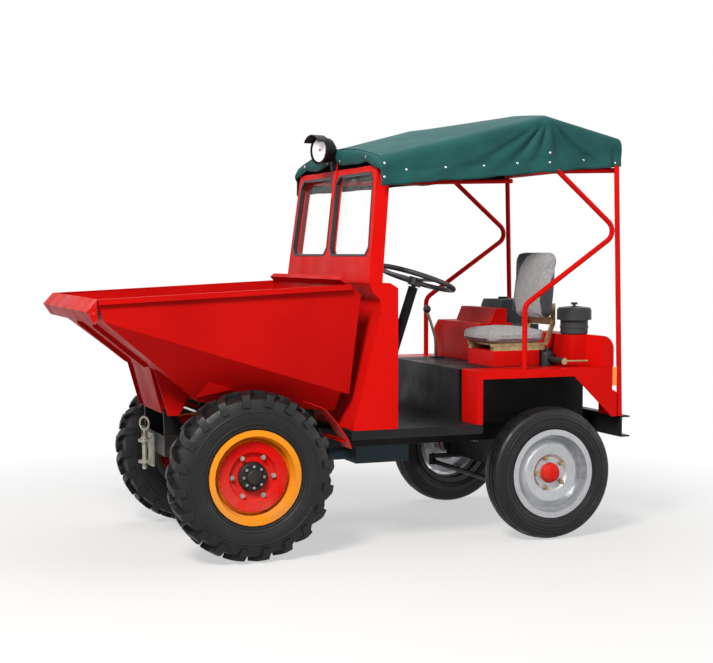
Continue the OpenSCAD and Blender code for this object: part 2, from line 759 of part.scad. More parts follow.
// One plate of the tub across the skip, between the inner faces of the side panels
function tub_y(p) = min(inner_y(upper_side, p), inner_y(lower_side, p)) - panel_gap;
module cross_panel(i) {
    outline = [skip_line[i], skip_line[i + 1], skip_inside[i + 1], skip_inside[i]];
    skin([for (side = [-1, 1]) [for (p = outline) at_y(p, side * tub_y(p))]]);
}

module skip_floor() { color(red) from_front_axle() cross_panel(2); }

// Stiffening ribs under the front slope
rib_x0 = 400;
rib_x1 = 690;
rib_y = 180;
rib_w = 40;
rib_h = 26;

module skip_front() {
    lip = [skip_front_top, lip_nose, lip_low];
    lip_y = side_top_y + skip_flange;
    color(red) from_front_axle() {
        cross_panel(3);
        cross_panel(4);
        side_plate(folded(reversed(lip), skip_t), -lip_y + skip_t, 2 * (lip_y - skip_t));
        both_sides() side_plate([for (p = [[rib_x0, 0], [rib_x1, 0], [rib_x1 - 20, -rib_h], [rib_x0 + 30,
            -rib_h]])
            [p[0], slope_z(p[0]) + p[1]]], rib_y, rib_w);
        both_sides() side_plate([skip_front_top, lip_nose, lip_low, [skip_front_top[0],
            lip_low[1] + 12]], lip_y - skip_t,
            skip_t);
    }
}

module skip_rear() {
    guard_w = 560;
    guard_line = [skip_inside[0] + [14, 36], skip_inside[0] + [26, 22], skip_inside[0] + [0, -2]];
    guard_z = skip_rear_top[1] + 10;
    guard_face = [[-guard_w, guard_z - 40], [guard_w, guard_z - 40], [guard_w, guard_z], [guard_w - 50,
        guard_z + 40],
        [-guard_w + 50, guard_z + 40], [-guard_w, guard_z]];
    color(red) from_front_axle() {
        cross_panel(0);
        cross_panel(1);
        intersection() {
            side_plate(folded(guard_line, skip_t), -guard_w, 2 * guard_w);
            cross_plate(guard_face, guard_line[0][0] - 20, 80);
        }
    }
}

// Wedge gussets low on the side panels, in X and Z, each point with its stand-off from the panel
gusset = [[223, 766, 2], [171, 846, 2], [66, 812, 42]];
function off_panel(p, out) = at_y(p, y_on(lower_side, p) + out);

module skip_side() {
    lower = [skip_floor_front, skip_brow, skip_crease_low, skip_floor_rear];
    rim_front = between(skip_front_top, skip_rear_top, 0.005);
    upper = [skip_brow, between(skip_front_top, skip_brow, 0.1), rim_front, skip_rear_top,
        [flange_rear_x, 1255],
        skip_crease_rear];
    rim_rear = skip_rear_top;
    drop = [0, -25];
    top = [0, -skip_t];
    color(red) from_front_axle() {
        skin([[for (p = upper) at_y(p, inner_y(upper_side, p))], [for (p = upper) at_y(p,
            y_on(upper_side, p))]]);
        skin([[for (p = lower) at_y(p, inner_y(lower_side, p))], [for (p = lower) at_y(p,
            y_on(lower_side, p))]]);
        skin([[for (p = gusset) off_panel(p, panel_gap)], [for (p = gusset) off_panel(p, p[2])]]);
        side_plate([rim_front, rim_rear, rim_rear + top, rim_front + top], side_top_y - 2, skip_flange + 2);
        side_plate([rim_front, rim_rear, rim_rear + drop, rim_front + drop],
            side_top_y + skip_flange - skip_t, skip_t);
    }
}

module skip_left() { skip_side(); }
module skip_right() { mirror([0, 1, 0]) skip_side(); }

// Hinge lugs and pin under the front slope, and the ram's ears under the floor
hinge_lug_y = 190;
hinge_lug_t = 20;
bracket_t = 20;
// Apron between the lugs and a wing plate outside them
apron_t = 6;
wing_y = 300;
wing_low = hinge_z - 15;
ear_gap = 44;
eye_x = 200;
eye_z = 705;
function slope_z(x) = skip_floor_front[1]
    + (x - skip_floor_front[0]) * (skip_brow[1] - skip_floor_front[1]) / (skip_brow[0] - skip_floor_front[0]);
// Height of the floor's underside at x
function floor_z(x) = skip_floor_rear[1]
    + (x - skip_floor_rear[0]) * (skip_floor_front[1] - skip_floor_rear[1])
    / (skip_floor_front[0] - skip_floor_rear[0]);

module skip_hinge() {
    apron = [[hinge_x + 36, wing_low], [hinge_x + 52, hinge_z + 40], [hinge_x + 96, slope_z(hinge_x + 96)]];
    apron_back = shifted(apron, apron_t);
    lug = concat([[hinge_x - 28, hinge_z], [hinge_x + 28, wing_low]], apron, [[hinge_x - 60,
        slope_z(hinge_x - 60)]]);
    ear = [[eye_x - 26, eye_z], [eye_x + 26, eye_z], [eye_x + 40, slope_z(eye_x + 40)], [eye_x,
        slope_z(eye_x)],
        [eye_x - 40, floor_z(eye_x - 40)]];
    color(red) from_front_axle() {
        both_sides() {
            side_plate(lug, hinge_lug_y - hinge_lug_t, hinge_lug_t);
            cross_bar(56, hinge_x, hinge_z, hinge_lug_y - hinge_lug_t, hinge_lug_y);
            difference() {
                union() {
                    side_plate(ear, ear_gap / 2, 12);
                    cross_bar(52, eye_x, eye_z, ear_gap / 2, ear_gap / 2 + 12);
                }
                cross_bar(26, eye_x, eye_z, ear_gap / 2 - 1, ear_gap / 2 + 13);
            }
        }
        cross_bar(hinge_d, hinge_x, hinge_z, -hinge_lug_y - bracket_t - 14, hinge_lug_y + bracket_t + 14);
        side_plate(concat(apron, [[apron_back[2][0], slope_z(apron_back[2][0])], apron_back[1], apron_back[0]]),
            -hinge_lug_y, 2 * hinge_lug_y);
        both_sides() side_plate([[hinge_x - 70, slope_z(hinge_x - 70)], [hinge_x - 20, wing_low],
            [hinge_x + 35, wing_low],
            [hinge_x + 100, slope_z(hinge_x + 100)]], wing_y, apron_t);
    }
}

// Hinge brackets on the front ends of the rails, and rests under the skip's floor
module skip_brackets() {
    y0 = hinge_lug_y + 2;
    outline = [[hinge_x - 70, rail_top], [hinge_x + 28, rail_top], [hinge_x + 32, hinge_z],
        [hinge_x - 32, hinge_z]];
    rest_x = -400;
    rest_gap = 2;
    color(black) from_front_axle() both_sides() {
        difference() {
            union() {
                side_plate(outline, y0, bracket_t);
                cross_bar(64, hinge_x, hinge_z, y0, y0 + bracket_t);
            }
            cross_bar(hinge_d + 2 * run_gap, hinge_x, hinge_z, y0 - 1, y0 + bracket_t + 1);
        }
        side_plate([[rest_x - 30, rail_top], [rest_x + 30, rail_top], [rest_x + 30,
            floor_z(rest_x + 30) - rest_gap],
            [rest_x - 30, floor_z(rest_x - 30) - rest_gap]], rail_y - rail_w, rail_w);
    }
}

// Tipping ram between the rails
foot_x = -300;
foot_z = 500;
ram_angle = atan2(eye_z - foot_z, eye_x - foot_x);
ram_length = norm([eye_x - foot_x, eye_z - foot_z]);
barrel_d = 76;
piston_rod_d = 40;
ram_pin_d = 26;

module ram_foot() {
    difference() {
        both_sides() side_plate([[foot_x - 40, frame_z + rail_t], [foot_x + 30, frame_z + rail_t],
            [foot_x + 26, foot_z + 20], [foot_x - 26, foot_z + 20]], ear_gap / 2, 12);
        cross_bar(ram_pin_d, foot_x, foot_z, -60, 60);
    }
}

module in_ram() {
    from_front_axle() translate([foot_x, 0, foot_z]) rotate([0, 90 - ram_angle, 0]) children();
}

module tip_barrel() {
    color([0.2, 0.2, 0.21]) in_ram() difference() {
        union() {
            rotate([90, 0, 0]) translate([0, 0, -ear_gap / 2 + 1]) cylinder(d = 44, h = ear_gap - 2);
            rotate([90, 0, 0]) translate([0, 0, -ear_gap / 2 - 14]) cylinder(d = ram_pin_d - 2 * run_gap,
                h = ear_gap + 28);
            translate([0, 0, 10]) cylinder(d = 40, h = 30);
            translate([0, 0, 40]) cylinder(d = barrel_d, h = ram_length - 140);
        }
        translate([0, 0, 60]) cylinder(d = piston_rod_d + 2 * run_gap, h = ram_length);
    }
}

module tip_rod() {
    color([0.8, 0.8, 0.82]) in_ram() {
        translate([0, 0, 140]) cylinder(d = piston_rod_d, h = ram_length - 160);
        rotate([90, 0, 0]) translate([0, ram_length, -ear_gap / 2 + 2]) cylinder(d = 44, h = ear_gap - 4);
    }
}

// Towing clevis and drop pin on the front of the frame
tow_x = rail_front_x + rail_t;
tow_z = 470;

module tow_clevis() {
    color([0.72, 0.70, 0.62]) from_front_axle() difference() {
        union() {
            translate([tow_x, -45, tow_z - 75]) cube([12, 90, 165]);
            for (z = [tow_z - 60, tow_z + 46]) translate([tow_x, -32, z]) cube([40, 64, 14]);
            for (z = [tow_z - 60, tow_z + 46]) translate([tow_x + 40, 0, z]) cylinder(d = 64, h = 14);
        }
        translate([tow_x + 40, 0, tow_z - 90]) cylinder(d = 26, h = 190);
    }
}

module tow_pin() {
    color([0.72, 0.70, 0.62]) from_front_axle() translate([tow_x + 40, 0, tow_z]) {
        translate([0, 0, -90]) cylinder(d = 25, h = 170);
        translate([0, 0, 60 + seat_gap]) cylinder(d = 40, h = 10);
        translate([0, 0, 78]) cylinder(d = 12, h = 30);
        translate([0, 0, 138]) rotate([0, 90, 30]) rotate_extrude() translate([32, 0]) circle(d = 12);
    }
}

// Canopy tubes: zigzag stays, rear posts, side rails inside them, a bow and a rear bar on the rails
tube_span = body_w;
tube_y = tube_span / 2 - tube_d / 2;
weld_gap = 0.2;
rail_tube_y = tube_y - tube_d - weld_gap;
post_low = [-1990, channel_z1];
post_top = [-1958, 1900];
stay_top = [-1590, 1890];
stay_knee = [-1973, 1563];
stay_low = [-1431, 1193];
stay_foot = [stay_low[0], deck_z];
rail_front = [-711.5, screen_top - 40];
// Height of the side rails at x
function rail_z(x) = rail_front[1]
    + (x - rail_front[0]) * (post_top[1] - 20 - rail_front[1]) / (post_top[0] - rail_front[0]);

function rail_at(x) = [x, rail_tube_y, rail_z(x)];

module straight_tube(a, b) {
    d = b - a;
    translate(a) rotate([0, acos(d[2] / norm(d)), atan2(d[1], d[0])]) cylinder(d = tube_d, h = norm(d));
}

module canopy_frame() {
    color(red) from_front_axle() {
        both_sides() {
            bent_tube([for (p = [stay_foot, stay_low, stay_knee, stay_top]) at_y(p, tube_y)], tube_d, 60,
                [0, 1, 0]);
            straight_tube(at_y(post_low, tube_y), at_y(post_top, tube_y));
            straight_tube(rail_at(rail_front[0]), rail_at(post_top[0] - 16));
        }
        bow();
        cross_bar(tube_d, post_top[0] + 20, rail_z(post_top[0] + 20) + tube_d + 2 * weld_gap,
            -rail_tube_y, rail_tube_y);
    }
}

module bow() {
    x = stay_top[0] + 30;
    foot = rail_z(x) + tube_d / 2 + weld_gap + 1;
    top = bow_z - tube_d;
    bent_tube([[x, -rail_tube_y, foot], [x, -rail_tube_y, top], [x, rail_tube_y, top], [x, rail_tube_y,
        foot]], tube_d, 70, [1, 0, 0]);
}

// Canvas canopy, drawn over the front edge, the bow and the rear tube
canopy_y = tube_span / 2 + canvas_t + 0.5;

// Half arch of the canvas: outer half-width w, skirt from low to high, crown in the middle
function arch(w, low, high, crown) = let (r = 60) concat([[w, low]],
    [for (a = [0 : 30 : 90]) [w - r + r * cos(a), high - r + r * sin(a)]], [[w * 0.5,
        high + crown * 0.75], [0, high + crown]]);
function whole_arch(w, low, high, crown) = let (half = arch(w, low, high, crown))
    concat(half, [for (i = [len(half) - 2 : -1 : 0]) [-half[i][0], half[i][1]]]);

canopy_stations = [[-640, 1775, canopy_front_z, 30], [-1100, 1815, canopy_front_z + 88, 38],
    [stay_top[0] + 40, 1862, bow_z, 46], [-1800, 1882, canopy_front_z + 145, 40], [-1978, 1901,
        canopy_rear_z, 30]];

module canopy_form(inset, drop) {
    n = len(canopy_stations);
    for (i = [0 : n - 2]) {
        a = canopy_stations[i];
        b = canopy_stations[i + 1];
        hull() for (s = [a, b])
            translate([s[0], 0, 0]) rotate([90, 0, 90]) linear_extrude(0.5, center = true)
                polygon(whole_arch(canopy_y - inset, s[1] - drop, s[2] - inset, s[3]));
    }
}

module canopy() {
    color([0.09, 0.42, 0.36]) from_front_axle() difference() {
        canopy_form(0, 0);
        canopy_form(canvas_t, 50);
    }
}

// Work lamp on a bracket over the windscreen's middle
lamp_x = -575;
lamp_z = 1985;
lamp_d = 150;
// The lamp is turned to the left
lamp_turn = 14;
visor_l = 46;

module work_lamp() {
    color(black) from_front_axle() {
        translate([lamp_x, 0, lamp_z]) rotate([0, 90, lamp_turn]) rotate_extrude()
            polygon([[0, -62], [36, -58], [62, -30], [lamp_d / 2 - 4, 10], [lamp_d / 2, 12], [lamp_d / 2,
                34],
                [lamp_d / 2 - 5, 34], [lamp_d / 2 - 5, 14], [0, 14]]);
        translate([lamp_x, 0, lamp_z]) rotate([0, 90, lamp_turn]) translate([0, 0, 14]) difference() {
            cylinder(d = lamp_d + 4, h = 20 + visor_l);
            translate([0, 0, -1]) cylinder(d = lamp_d - 2, h = 22 + visor_l);
            translate([-lamp_d / 4, -lamp_d, -1]) cube([lamp_d, 2 * lamp_d, 22 + visor_l]);
        }
        lean_back() translate([-20, screen_h - 150, 0]) cube([40, 190, 6]);
        translate([lamp_x - 76, -14, screen_top + 1]) cube([34, 28, lamp_z - screen_top - 37]);
    }
}

module work_lamp_lens() {
    color([0.85, 0.9, 0.9, 0.6]) from_front_axle() translate([lamp_x, 0, lamp_z]) rotate([0, 90, lamp_turn])
        rotate_extrude() polygon([[0, 14 + seat_gap], [lamp_d / 2 - 5.5, 14 + seat_gap],
            [lamp_d / 2 - 5.5, 24], [30, 32], [0, 34]]);
}

// Seat on a pedestal, a little to the left
seat_x0 = -1690;
seat_x1 = -1335;
seat_w = 365;
cushion_t = 70;
back_t = 66;
back_h = 345;
back_z = 1110;
back_lean = 5;
base_h = 80;
slide_h = 22;
// Depth of the frame bars under the cushion, and the cushion's rear edge
frame_h = 16;
cushion_x0 = seat_x0 + 20;
seat_bar = 12;

module seat_base() {
    color(red) from_front_axle() translate([seat_x0 + 50, seat_y - 150, deck_z]) difference() {
        cube([270, 300, base_h]);
        translate([sheet_t, sheet_t, -1]) cube([270 - 2 * sheet_t, 300 - 2 * sheet_t, base_h - sheet_t]);
    }
}

// Slides, frame bars and two bent arms that carry the back
module seat_rails() {
    z = deck_z + base_h;
    arm_top = back_z + 80;
    arm = [[cushion_x0, z + slide_h], [cushion_x0, z + slide_h + frame_h],
        [cushion_x0 - 10, z + slide_h + frame_h + 10],
        [seat_x0 - 26.8, back_z - 20], [seat_x0 - 26.8, arm_top], [seat_x0 - 50, arm_top], [seat_x0 - 50,
            back_z - 30],
        [seat_x0 - 4, z + slide_h]];
    color(zinc) from_front_axle() {
        for (side = [-1, 1]) translate([0, seat_y + side * 130, 0]) {
            translate([seat_x0 + 20, -18, z]) cube([300, 36, slide_h]);
            translate([seat_x0, -seat_bar / 2, z + slide_h]) cube([330, seat_bar, frame_h]);
            side_plate(arm, -seat_bar / 2, seat_bar);
        }
        translate([seat_x0 + 20, seat_y - 130, z + slide_h + 4]) cube([280, 260, 8]);
        translate([seat_x0 - 50, seat_y - 130, back_z - 34]) cube([14, 260, 40]);
    }
}

module rounded_block(size, r) {
    translate([r, r, r]) minkowski() {
        cube([size[0] - 2 * r, size[1] - 2 * r, size[2] - 2 * r]);
        sphere(r = r, $fn = 16);
    }
}

module seat_cushion() {
    color([0.45, 0.45, 0.46]) from_front_axle()
        translate([cushion_x0, seat_y - seat_w / 2, deck_z + base_h + slide_h + frame_h + seat_gap])
            rounded_block([seat_x1 - cushion_x0, seat_w, cushion_t], 24);
}

module seat_back() {
    color([0.45, 0.45, 0.46]) from_front_axle() translate([seat_x0 - 20, seat_y - seat_w / 2, back_z])
        rotate([0, -back_lean, 0]) rounded_block([back_t, seat_w, back_h], 28);
}

// Steering column and wheel
column_foot = [-767, platform_z];
wheel_hub = [-1010, 1325];
column_dir = unit([wheel_hub[0] - column_foot[0], wheel_hub[1] - column_foot[1]]);
column_tilt = atan2(-column_dir[0], column_dir[1]);
column_l = norm(wheel_hub - column_foot);
steer_y = 200;

module in_column() {
    from_front_axle() translate([column_foot[0], steer_y, column_foot[1]]) rotate([0, -column_tilt,
        0]) children();
}

module steering_column() {
    color(black) {
        in_column() difference() {
            translate([0, 0, 30]) cylinder(d = 50, h = column_l - 80);
            translate([0, 0, column_l - 120]) cylinder(d = 24 + 2 * run_gap, h = 120);
        }
        from_front_axle() translate([column_foot[0] - 60, steer_y - 50, platform_z]) cube([110, 100, 60]);
    }
}

module steering_wheel() {
    color(black) in_column() {
        translate([0, 0, column_l - 100]) cylinder(d = 24, h = 100);
        translate([0, 0, column_l - 40]) cylinder(d = 70, h = 40);
        translate([0, 0, column_l]) rotate_extrude() translate([wheel_d / 2 - wheel_ring / 2,
            0]) circle(d = wheel_ring);
        for (a = [90 : 120 : 330]) rotate([0, 0, a]) translate([20, -12, column_l - 14])
            cube([wheel_d / 2 - wheel_ring / 2 - 20, 24, 10]);
    }
}

// Gear lever, tipping valve with its lever rod, and two pedals
lever_x = -1360;
lever_y = -300;
valve = [-1697, 350];
valve_d = 88;

module controls() {
    color(black) from_front_axle() {
        translate([lever_x, lever_y, deck_z]) {
            bent_tube([[0, 0, 3], [10, 0, 120], [60, 0, 270]], 16, 60, [0, 1, 0]);
            translate([60, 0, 275]) sphere(d = 44);
            translate([-30, -30, 0]) cube([60, 60, 10]);
        }
        translate([valve[0], valve[1], deck_z]) {
            rotate_extrude() polygon([[0, 0], [valve_d / 2, 0], [valve_d / 2, 58], [valve_d / 2 - 8, 70],
                [20, 74],
                [20, 90], [0, 90]]);
            translate([0, 0, 30]) rotate([-90, 0, 0]) cylinder(d = 34, h = 190);
            translate([0, 180, 30]) rotate([0, -90, -10]) cylinder(d = 12, h = 130);
        }
        for (y = [120, 290]) translate([-700, y, platform_z]) {
            translate([-20, -20, 0]) cube([40, 40, 8]);
            bent_tube([[0, 0, 3], [-20, 0, 150], [-90, 0, 190]], 16, 40, [0, 1, 0]);
            translate([-115, -35, 197]) rotate([0, 30, 0]) cube([50, 70, 12]);
        }
    }
}

// Oil-bath air filter on the hood: bowl, overhanging lid and wing nut
filter_at = [-1816, 430];

module air_filter() {
    color([0.22, 0.22, 0.23]) from_front_axle() translate([filter_at[0], filter_at[1], hood_top]) {
        rotate_extrude() polygon([[0, 0], [66, 0], [72, 6], [72, 32], [75, 36], [75, 42], [72, 46], [72,
            76], [90, 76], [90, 128],
            [82, 140], [20, 148], [8, 148], [8, 162], [0, 162]]);
        translate([-18, -3, 155]) cube([36, 6, 12]);
    }
}

chassis_frame();
front_axle();
rear_axle();
gearbox();
engine();
platform();
fender_left();
fender_right();
rear_hood();
engine_cover();
scuttle();
windscreen_frame();
windscreen_glass();
mudguards();
skip_brackets();
canopy_frame();
canopy();
work_lamp();
work_lamp_lens();
rear_lamps();
seat_base();
seat_rails();
seat_cushion();
seat_back();
steering_column();
controls();
air_filter();
fuel_tank();
tow_clevis();
tow_pin();
skip_floor();
skip_front();
skip_rear();
skip_left();
skip_right();
skip_hinge();
tip_barrel();
tip_rod();
steering_wheel();
front_tyre_left();
front_tyre_right();
front_rim_left();
front_rim_right();
front_hub_left();
front_hub_right();
knuckle_left();
knuckle_right();
tie_rod();
rear_tyre_left();
rear_tyre_right();
rear_wheel_left();
rear_wheel_right();
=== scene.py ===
"""Looks of the site dumper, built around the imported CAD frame. Metres, X forward, Y left, Z up."""

import json
import math

import bmesh
import bpy
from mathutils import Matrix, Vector, noise
from mathutils.bvhtree import BVHTree


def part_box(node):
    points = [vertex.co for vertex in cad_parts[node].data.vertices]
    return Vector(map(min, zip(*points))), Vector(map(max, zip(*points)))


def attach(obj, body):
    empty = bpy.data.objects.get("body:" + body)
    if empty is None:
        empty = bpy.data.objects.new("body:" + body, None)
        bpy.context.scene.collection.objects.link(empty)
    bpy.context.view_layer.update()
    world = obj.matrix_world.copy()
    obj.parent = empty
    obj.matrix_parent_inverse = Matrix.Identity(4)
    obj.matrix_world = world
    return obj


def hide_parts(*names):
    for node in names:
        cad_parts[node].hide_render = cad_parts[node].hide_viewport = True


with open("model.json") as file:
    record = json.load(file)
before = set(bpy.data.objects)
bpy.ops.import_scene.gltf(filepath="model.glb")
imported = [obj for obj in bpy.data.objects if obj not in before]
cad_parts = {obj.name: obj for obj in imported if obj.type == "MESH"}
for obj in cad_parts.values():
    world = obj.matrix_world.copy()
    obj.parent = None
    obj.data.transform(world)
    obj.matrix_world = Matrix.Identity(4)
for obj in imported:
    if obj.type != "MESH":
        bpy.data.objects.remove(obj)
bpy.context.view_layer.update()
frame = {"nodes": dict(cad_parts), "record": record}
NODES = frame["nodes"]


def middle(node):
    low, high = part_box(node)
    return (low + high) / 2


FRONT_AXLE = middle("front_tyre_left")

# Colours, linear
RED = (0.56, 0.0050, 0.0035)
DARK_RED = (0.44, 0.0030, 0.0025)
# The skip's reds are a darker copy of RED, which is the same paint: painted shade, so the skip looks less lit
# than the scuttle and fenders.
SKIP_RED_PAINTED_SHADE = (0.43, 0.0040, 0.0030)
SKIP_DARK_RED_PAINTED_SHADE = (0.33, 0.0025, 0.0022)
RED_GLOSS = 0.04
BLACK = (0.008, 0.008, 0.009)
RUBBER = (0.0045, 0.0045, 0.0052)
DUST = (0.24, 0.21, 0.17)
BARE_STEEL = (0.36, 0.33, 0.31)
YELLOW = (0.72, 0.25, 0.010)
SILVER = (0.44, 0.45, 0.47)
CANVAS = (0.004, 0.050, 0.049)
GREY_CLOTH = (0.30, 0.30, 0.31)
DARK_CLOTH = (0.022, 0.024, 0.034)
GOLD_ZINC = (0.46, 0.34, 0.17)
PALE_ZINC = (0.42, 0.40, 0.34)
ENGINE_BLUE = (0.055, 0.085, 0.105)
DARK_GREY = (0.045, 0.047, 0.052)
AMBER = (0.90, 0.24, 0.01)


# Materials


class Shader:
    """A Principled material with helpers for the few nodes that vary over its surface."""

    def __init__(self, name, color, roughness, metallic=0.0):
        self.material = bpy.data.materials.new(name)
        self.material.use_nodes = True
        self.tree = self.material.node_tree
        self.surface = self.tree.nodes["Principled BSDF"]
        self.set("Base Color", (*color, 1))
        self.set("Roughness", roughness)
        self.set("Metallic", metallic)
        self.color = color
        self.place = None

    def set(self, socket, value):
        self.surface.inputs[socket].default_value = value
        return self

    def node(self, kind, **settings):
        made = self.tree.nodes.new(kind)
        for key, value in settings.items():
            setattr(made, key, value)
        return made

    def link(self, source, target):
        self.tree.links.new(source, target)

    def position(self):
        if self.place is None:
            self.place = self.node("ShaderNodeTexCoord").outputs["Object"]
        return self.place

    def noise(self, scale, detail=4, low=0.35, high=0.65):
        """A noise field spread from 0 to 1 between its values low and high."""
        texture = self.node("ShaderNodeTexNoise")
        texture.inputs["Scale"].default_value = scale
        texture.inputs["Detail"].default_value = detail
        self.link(self.position(), texture.inputs["Vector"])
        return self.spread(texture.outputs["Fac"], low, high)

    def spread(self, value, low, high):
        ranged = self.node("ShaderNodeMapRange")
        ranged.inputs["From Min"].default_value = low
        ranged.inputs["From Max"].default_value = high
        self.link(value, ranged.inputs["Value"])
        return ranged.outputs["Result"]

    def along(self, axis, low, high):
        """0 to 1 from low to high along one axis of the frame."""
        split = self.node("ShaderNodeSeparateXYZ")
        self.link(self.position(), split.inputs["Vector"])
        return self.spread(split.outputs[axis], low, high)

    def times(self, a, b):
        product = self.node("ShaderNodeMath", operation="MULTIPLY", use_clamp=True)
        for socket, value in zip(product.inputs, (a, b)):
            if isinstance(value, (int, float)):
                socket.default_value = value
            else:
                self.link(value, socket)
        return product.outputs["Value"]

    def tint(self, color, amount):
        """Mixes another colour over what the base colour is so far."""
        mix = self.node("ShaderNodeMix", data_type="RGBA")
        base = self.surface.inputs["Base Color"]
        if base.links:
            self.link(base.links[0].from_socket, mix.inputs["A"])
        else:
            mix.inputs["A"].default_value = (*self.color, 1)
        mix.inputs["B"].default_value = (*color, 1)
        self.link(amount, mix.inputs["Factor"])
        self.link(mix.outputs["Result"], base)
        return self

    def bump(self, height, strength, distance):
        bump = self.node("ShaderNodeBump")
        bump.inputs["Strength"].default_value = strength
        bump.inputs["Distance"].default_value = distance
        self.link(height, bump.inputs["Height"])
        normal = self.surface.inputs["Normal"]
        if normal.links:
            self.link(normal.links[0].from_socket, bump.inputs["Normal"])
        self.link(bump.outputs["Normal"], normal)
        return self

    def rough(self, low, high, value):
        ranged = self.node("ShaderNodeMapRange")
        ranged.inputs["To Min"].default_value = low
        ranged.inputs["To Max"].default_value = high
        self.link(value, ranged.inputs["Value"])
        self.link(ranged.outputs["Result"], self.surface.inputs["Roughness"])
        return self


def enamel(name, color, shade, roughness=0.32, dusty_below=0.0, dust=0.3, gloss=0.11):
    """Brushed-on machine paint: uneven gloss, a little dust where it is low."""
    made = Shader(name, color, roughness)
    made.tint(shade, made.times(made.noise(2.2, 5), 0.55))
    if dusty_below:
        made.tint(DUST, made.times(made.times(made.along("Z", dusty_below, 0.1), made.noise(9, 6)), dust))
    made.rough(roughness - 0.06, roughness + 0.14, made.noise(5, 5))
    made.bump(made.noise(26, 3), 0.10, 0.002)
    made.set("Specular IOR Level", gloss)
    return made


def skip_paint_shaded():
    """Red paint, darker than the other red parts as painted shade, and rubbed thin along the pouring lip."""
    made = enamel("skip_red_painted_shade", SKIP_RED_PAINTED_SHADE, SKIP_DARK_RED_PAINTED_SHADE, 0.40, gloss=RED_GLOSS)
    lip = FRONT_AXLE.x + 0.70
    worn = made.times(made.noise(60, 8, 0.50, 0.66), made.along("X", lip, lip + 0.05))
    made.tint(BARE_STEEL, made.times(worn, 0.12))
    return made


def tyre_rubber():
    made = Shader("tyre_rubber", RUBBER, 0.55)
    made.tint((0.010, 0.0098, 0.0095), made.times(made.noise(14, 6), 0.6))
    made.rough(0.38, 0.62, made.noise(20, 5))
    made.bump(made.noise(240, 3), 0.10, 0.001)
    made.set("Specular IOR Level", 0.3)
    return made


def canvas_cloth():
    made = Shader("canvas_cloth", CANVAS, 0.7)
    made.tint((0.009, 0.076, 0.074), made.times(made.noise(7, 6), 0.6))
    weave = made.node("ShaderNodeTexChecker")
    weave.inputs["Scale"].default_value = 900
    made.link(made.position(), weave.inputs["Vector"])
    made.bump(weave.outputs["Fac"], 0.08, 0.0004)
    made.bump(made.noise(30, 6), 0.25, 0.003)
    made.set("Specular IOR Level", 0.2)
    return made


def seat_cloth(name, color):
    made = Shader(name, color, 0.9)
    made.tint(tuple(0.6 * c for c in color), made.times(made.noise(60, 6), 0.6))
    made.bump(made.noise(420, 2), 0.35, 0.0012)
    made.set("Sheen Weight", 0.3)
    return made


def plated(name, color, roughness, blotch=0.7):
    made = Shader(name, color, roughness, metallic=0.85)
    made.tint(tuple(0.55 * c for c in color), made.times(made.noise(40, 6), blotch))
    made.rough(roughness - 0.08, roughness + 0.2, made.noise(30, 5))
    return made


def clear_glass(name, color):
    made = Shader(name, color, 0.02)
    made.set("Transmission Weight", 0.92).set("IOR", 1.45)
    made.set("Specular IOR Level", 0.2).set("Alpha", 0.06)
    return made


def amber_lens():
    made = Shader("amber_lens", AMBER, 0.12)
    made.set("Coat Weight", 0.5)
    ribs = made.node("ShaderNodeTexWave", bands_direction="Z")
    ribs.inputs["Scale"].default_value = 60
    made.link(made.position(), ribs.inputs["Vector"])
    made.bump(ribs.outputs["Fac"], 0.5, 0.003)
    return made


MATERIALS = {
    "red": enamel("red_enamel", RED, DARK_RED, dusty_below=0.55, gloss=RED_GLOSS),
    "skip": skip_paint_shaded(),
    "black": enamel("black_enamel", BLACK, (0.018, 0.017, 0.016), 0.42, dusty_below=0.6, dust=0.2),
    "rubber": tyre_rubber(),
    "seal": Shader("seal_rubber", (0.012, 0.012, 0.013), 0.5),
    "yellow": enamel("yellow_enamel", YELLOW, (0.62, 0.20, 0.01), 0.34, dusty_below=0.5),
    "silver": plated("silver_enamel", SILVER, 0.40, blotch=0.15),
    "canvas": canvas_cloth(),
    # Painted shade: the canvas's inside is near black for the shade under the canopy.
    "inside_painted_shade": Shader("canvas_inside_painted_shade", (0.008, 0.009, 0.009), 0.8).set("Specular IOR Level", 0.05),
    "cloth": seat_cloth("grey_cloth", GREY_CLOTH),
    "bolster": seat_cloth("dark_cloth", DARK_CLOTH),
    "gold": plated("gold_zinc", GOLD_ZINC, 0.42),
    "zinc": plated("pale_zinc", PALE_ZINC, 0.5),
    "rivet": plated("rivet_steel", (0.62, 0.62, 0.60), 0.35),
    "bolt": plated("bolt_steel", (0.30, 0.30, 0.31), 0.38),
    "chrome": Shader("hard_chrome", (0.75, 0.76, 0.78), 0.1, metallic=1.0),
    # The lamp bowl's pale pinkish white is partly its own bright finish and partly a painted reflection.
    "reflector": Shader("lamp_reflector", (0.86, 0.83, 0.85), 0.3, metallic=0.35),
    "engine": enamel("engine_enamel", ENGINE_BLUE, (0.03, 0.045, 0.055), 0.45),
    "dark": enamel("dark_enamel", DARK_GREY, (0.02, 0.02, 0.022), 0.4),
    "plastic": Shader("black_plastic", (0.018, 0.018, 0.020), 0.48),
    "glass": clear_glass("window_glass", (0.86, 0.93, 0.91)),
    "lens": clear_glass("lamp_glass", (0.95, 0.96, 0.96)),
    "amber": amber_lens(),
    "reflex": Shader("reflector_red", (0.16, 0.004, 0.004), 0.15),
    # Painted shade: near black for the wheels' inward faces, which stand in the shade of the machine.
    "underside": Shader("wheel_shadow_side", (0.010, 0.010, 0.010), 0.6),
}
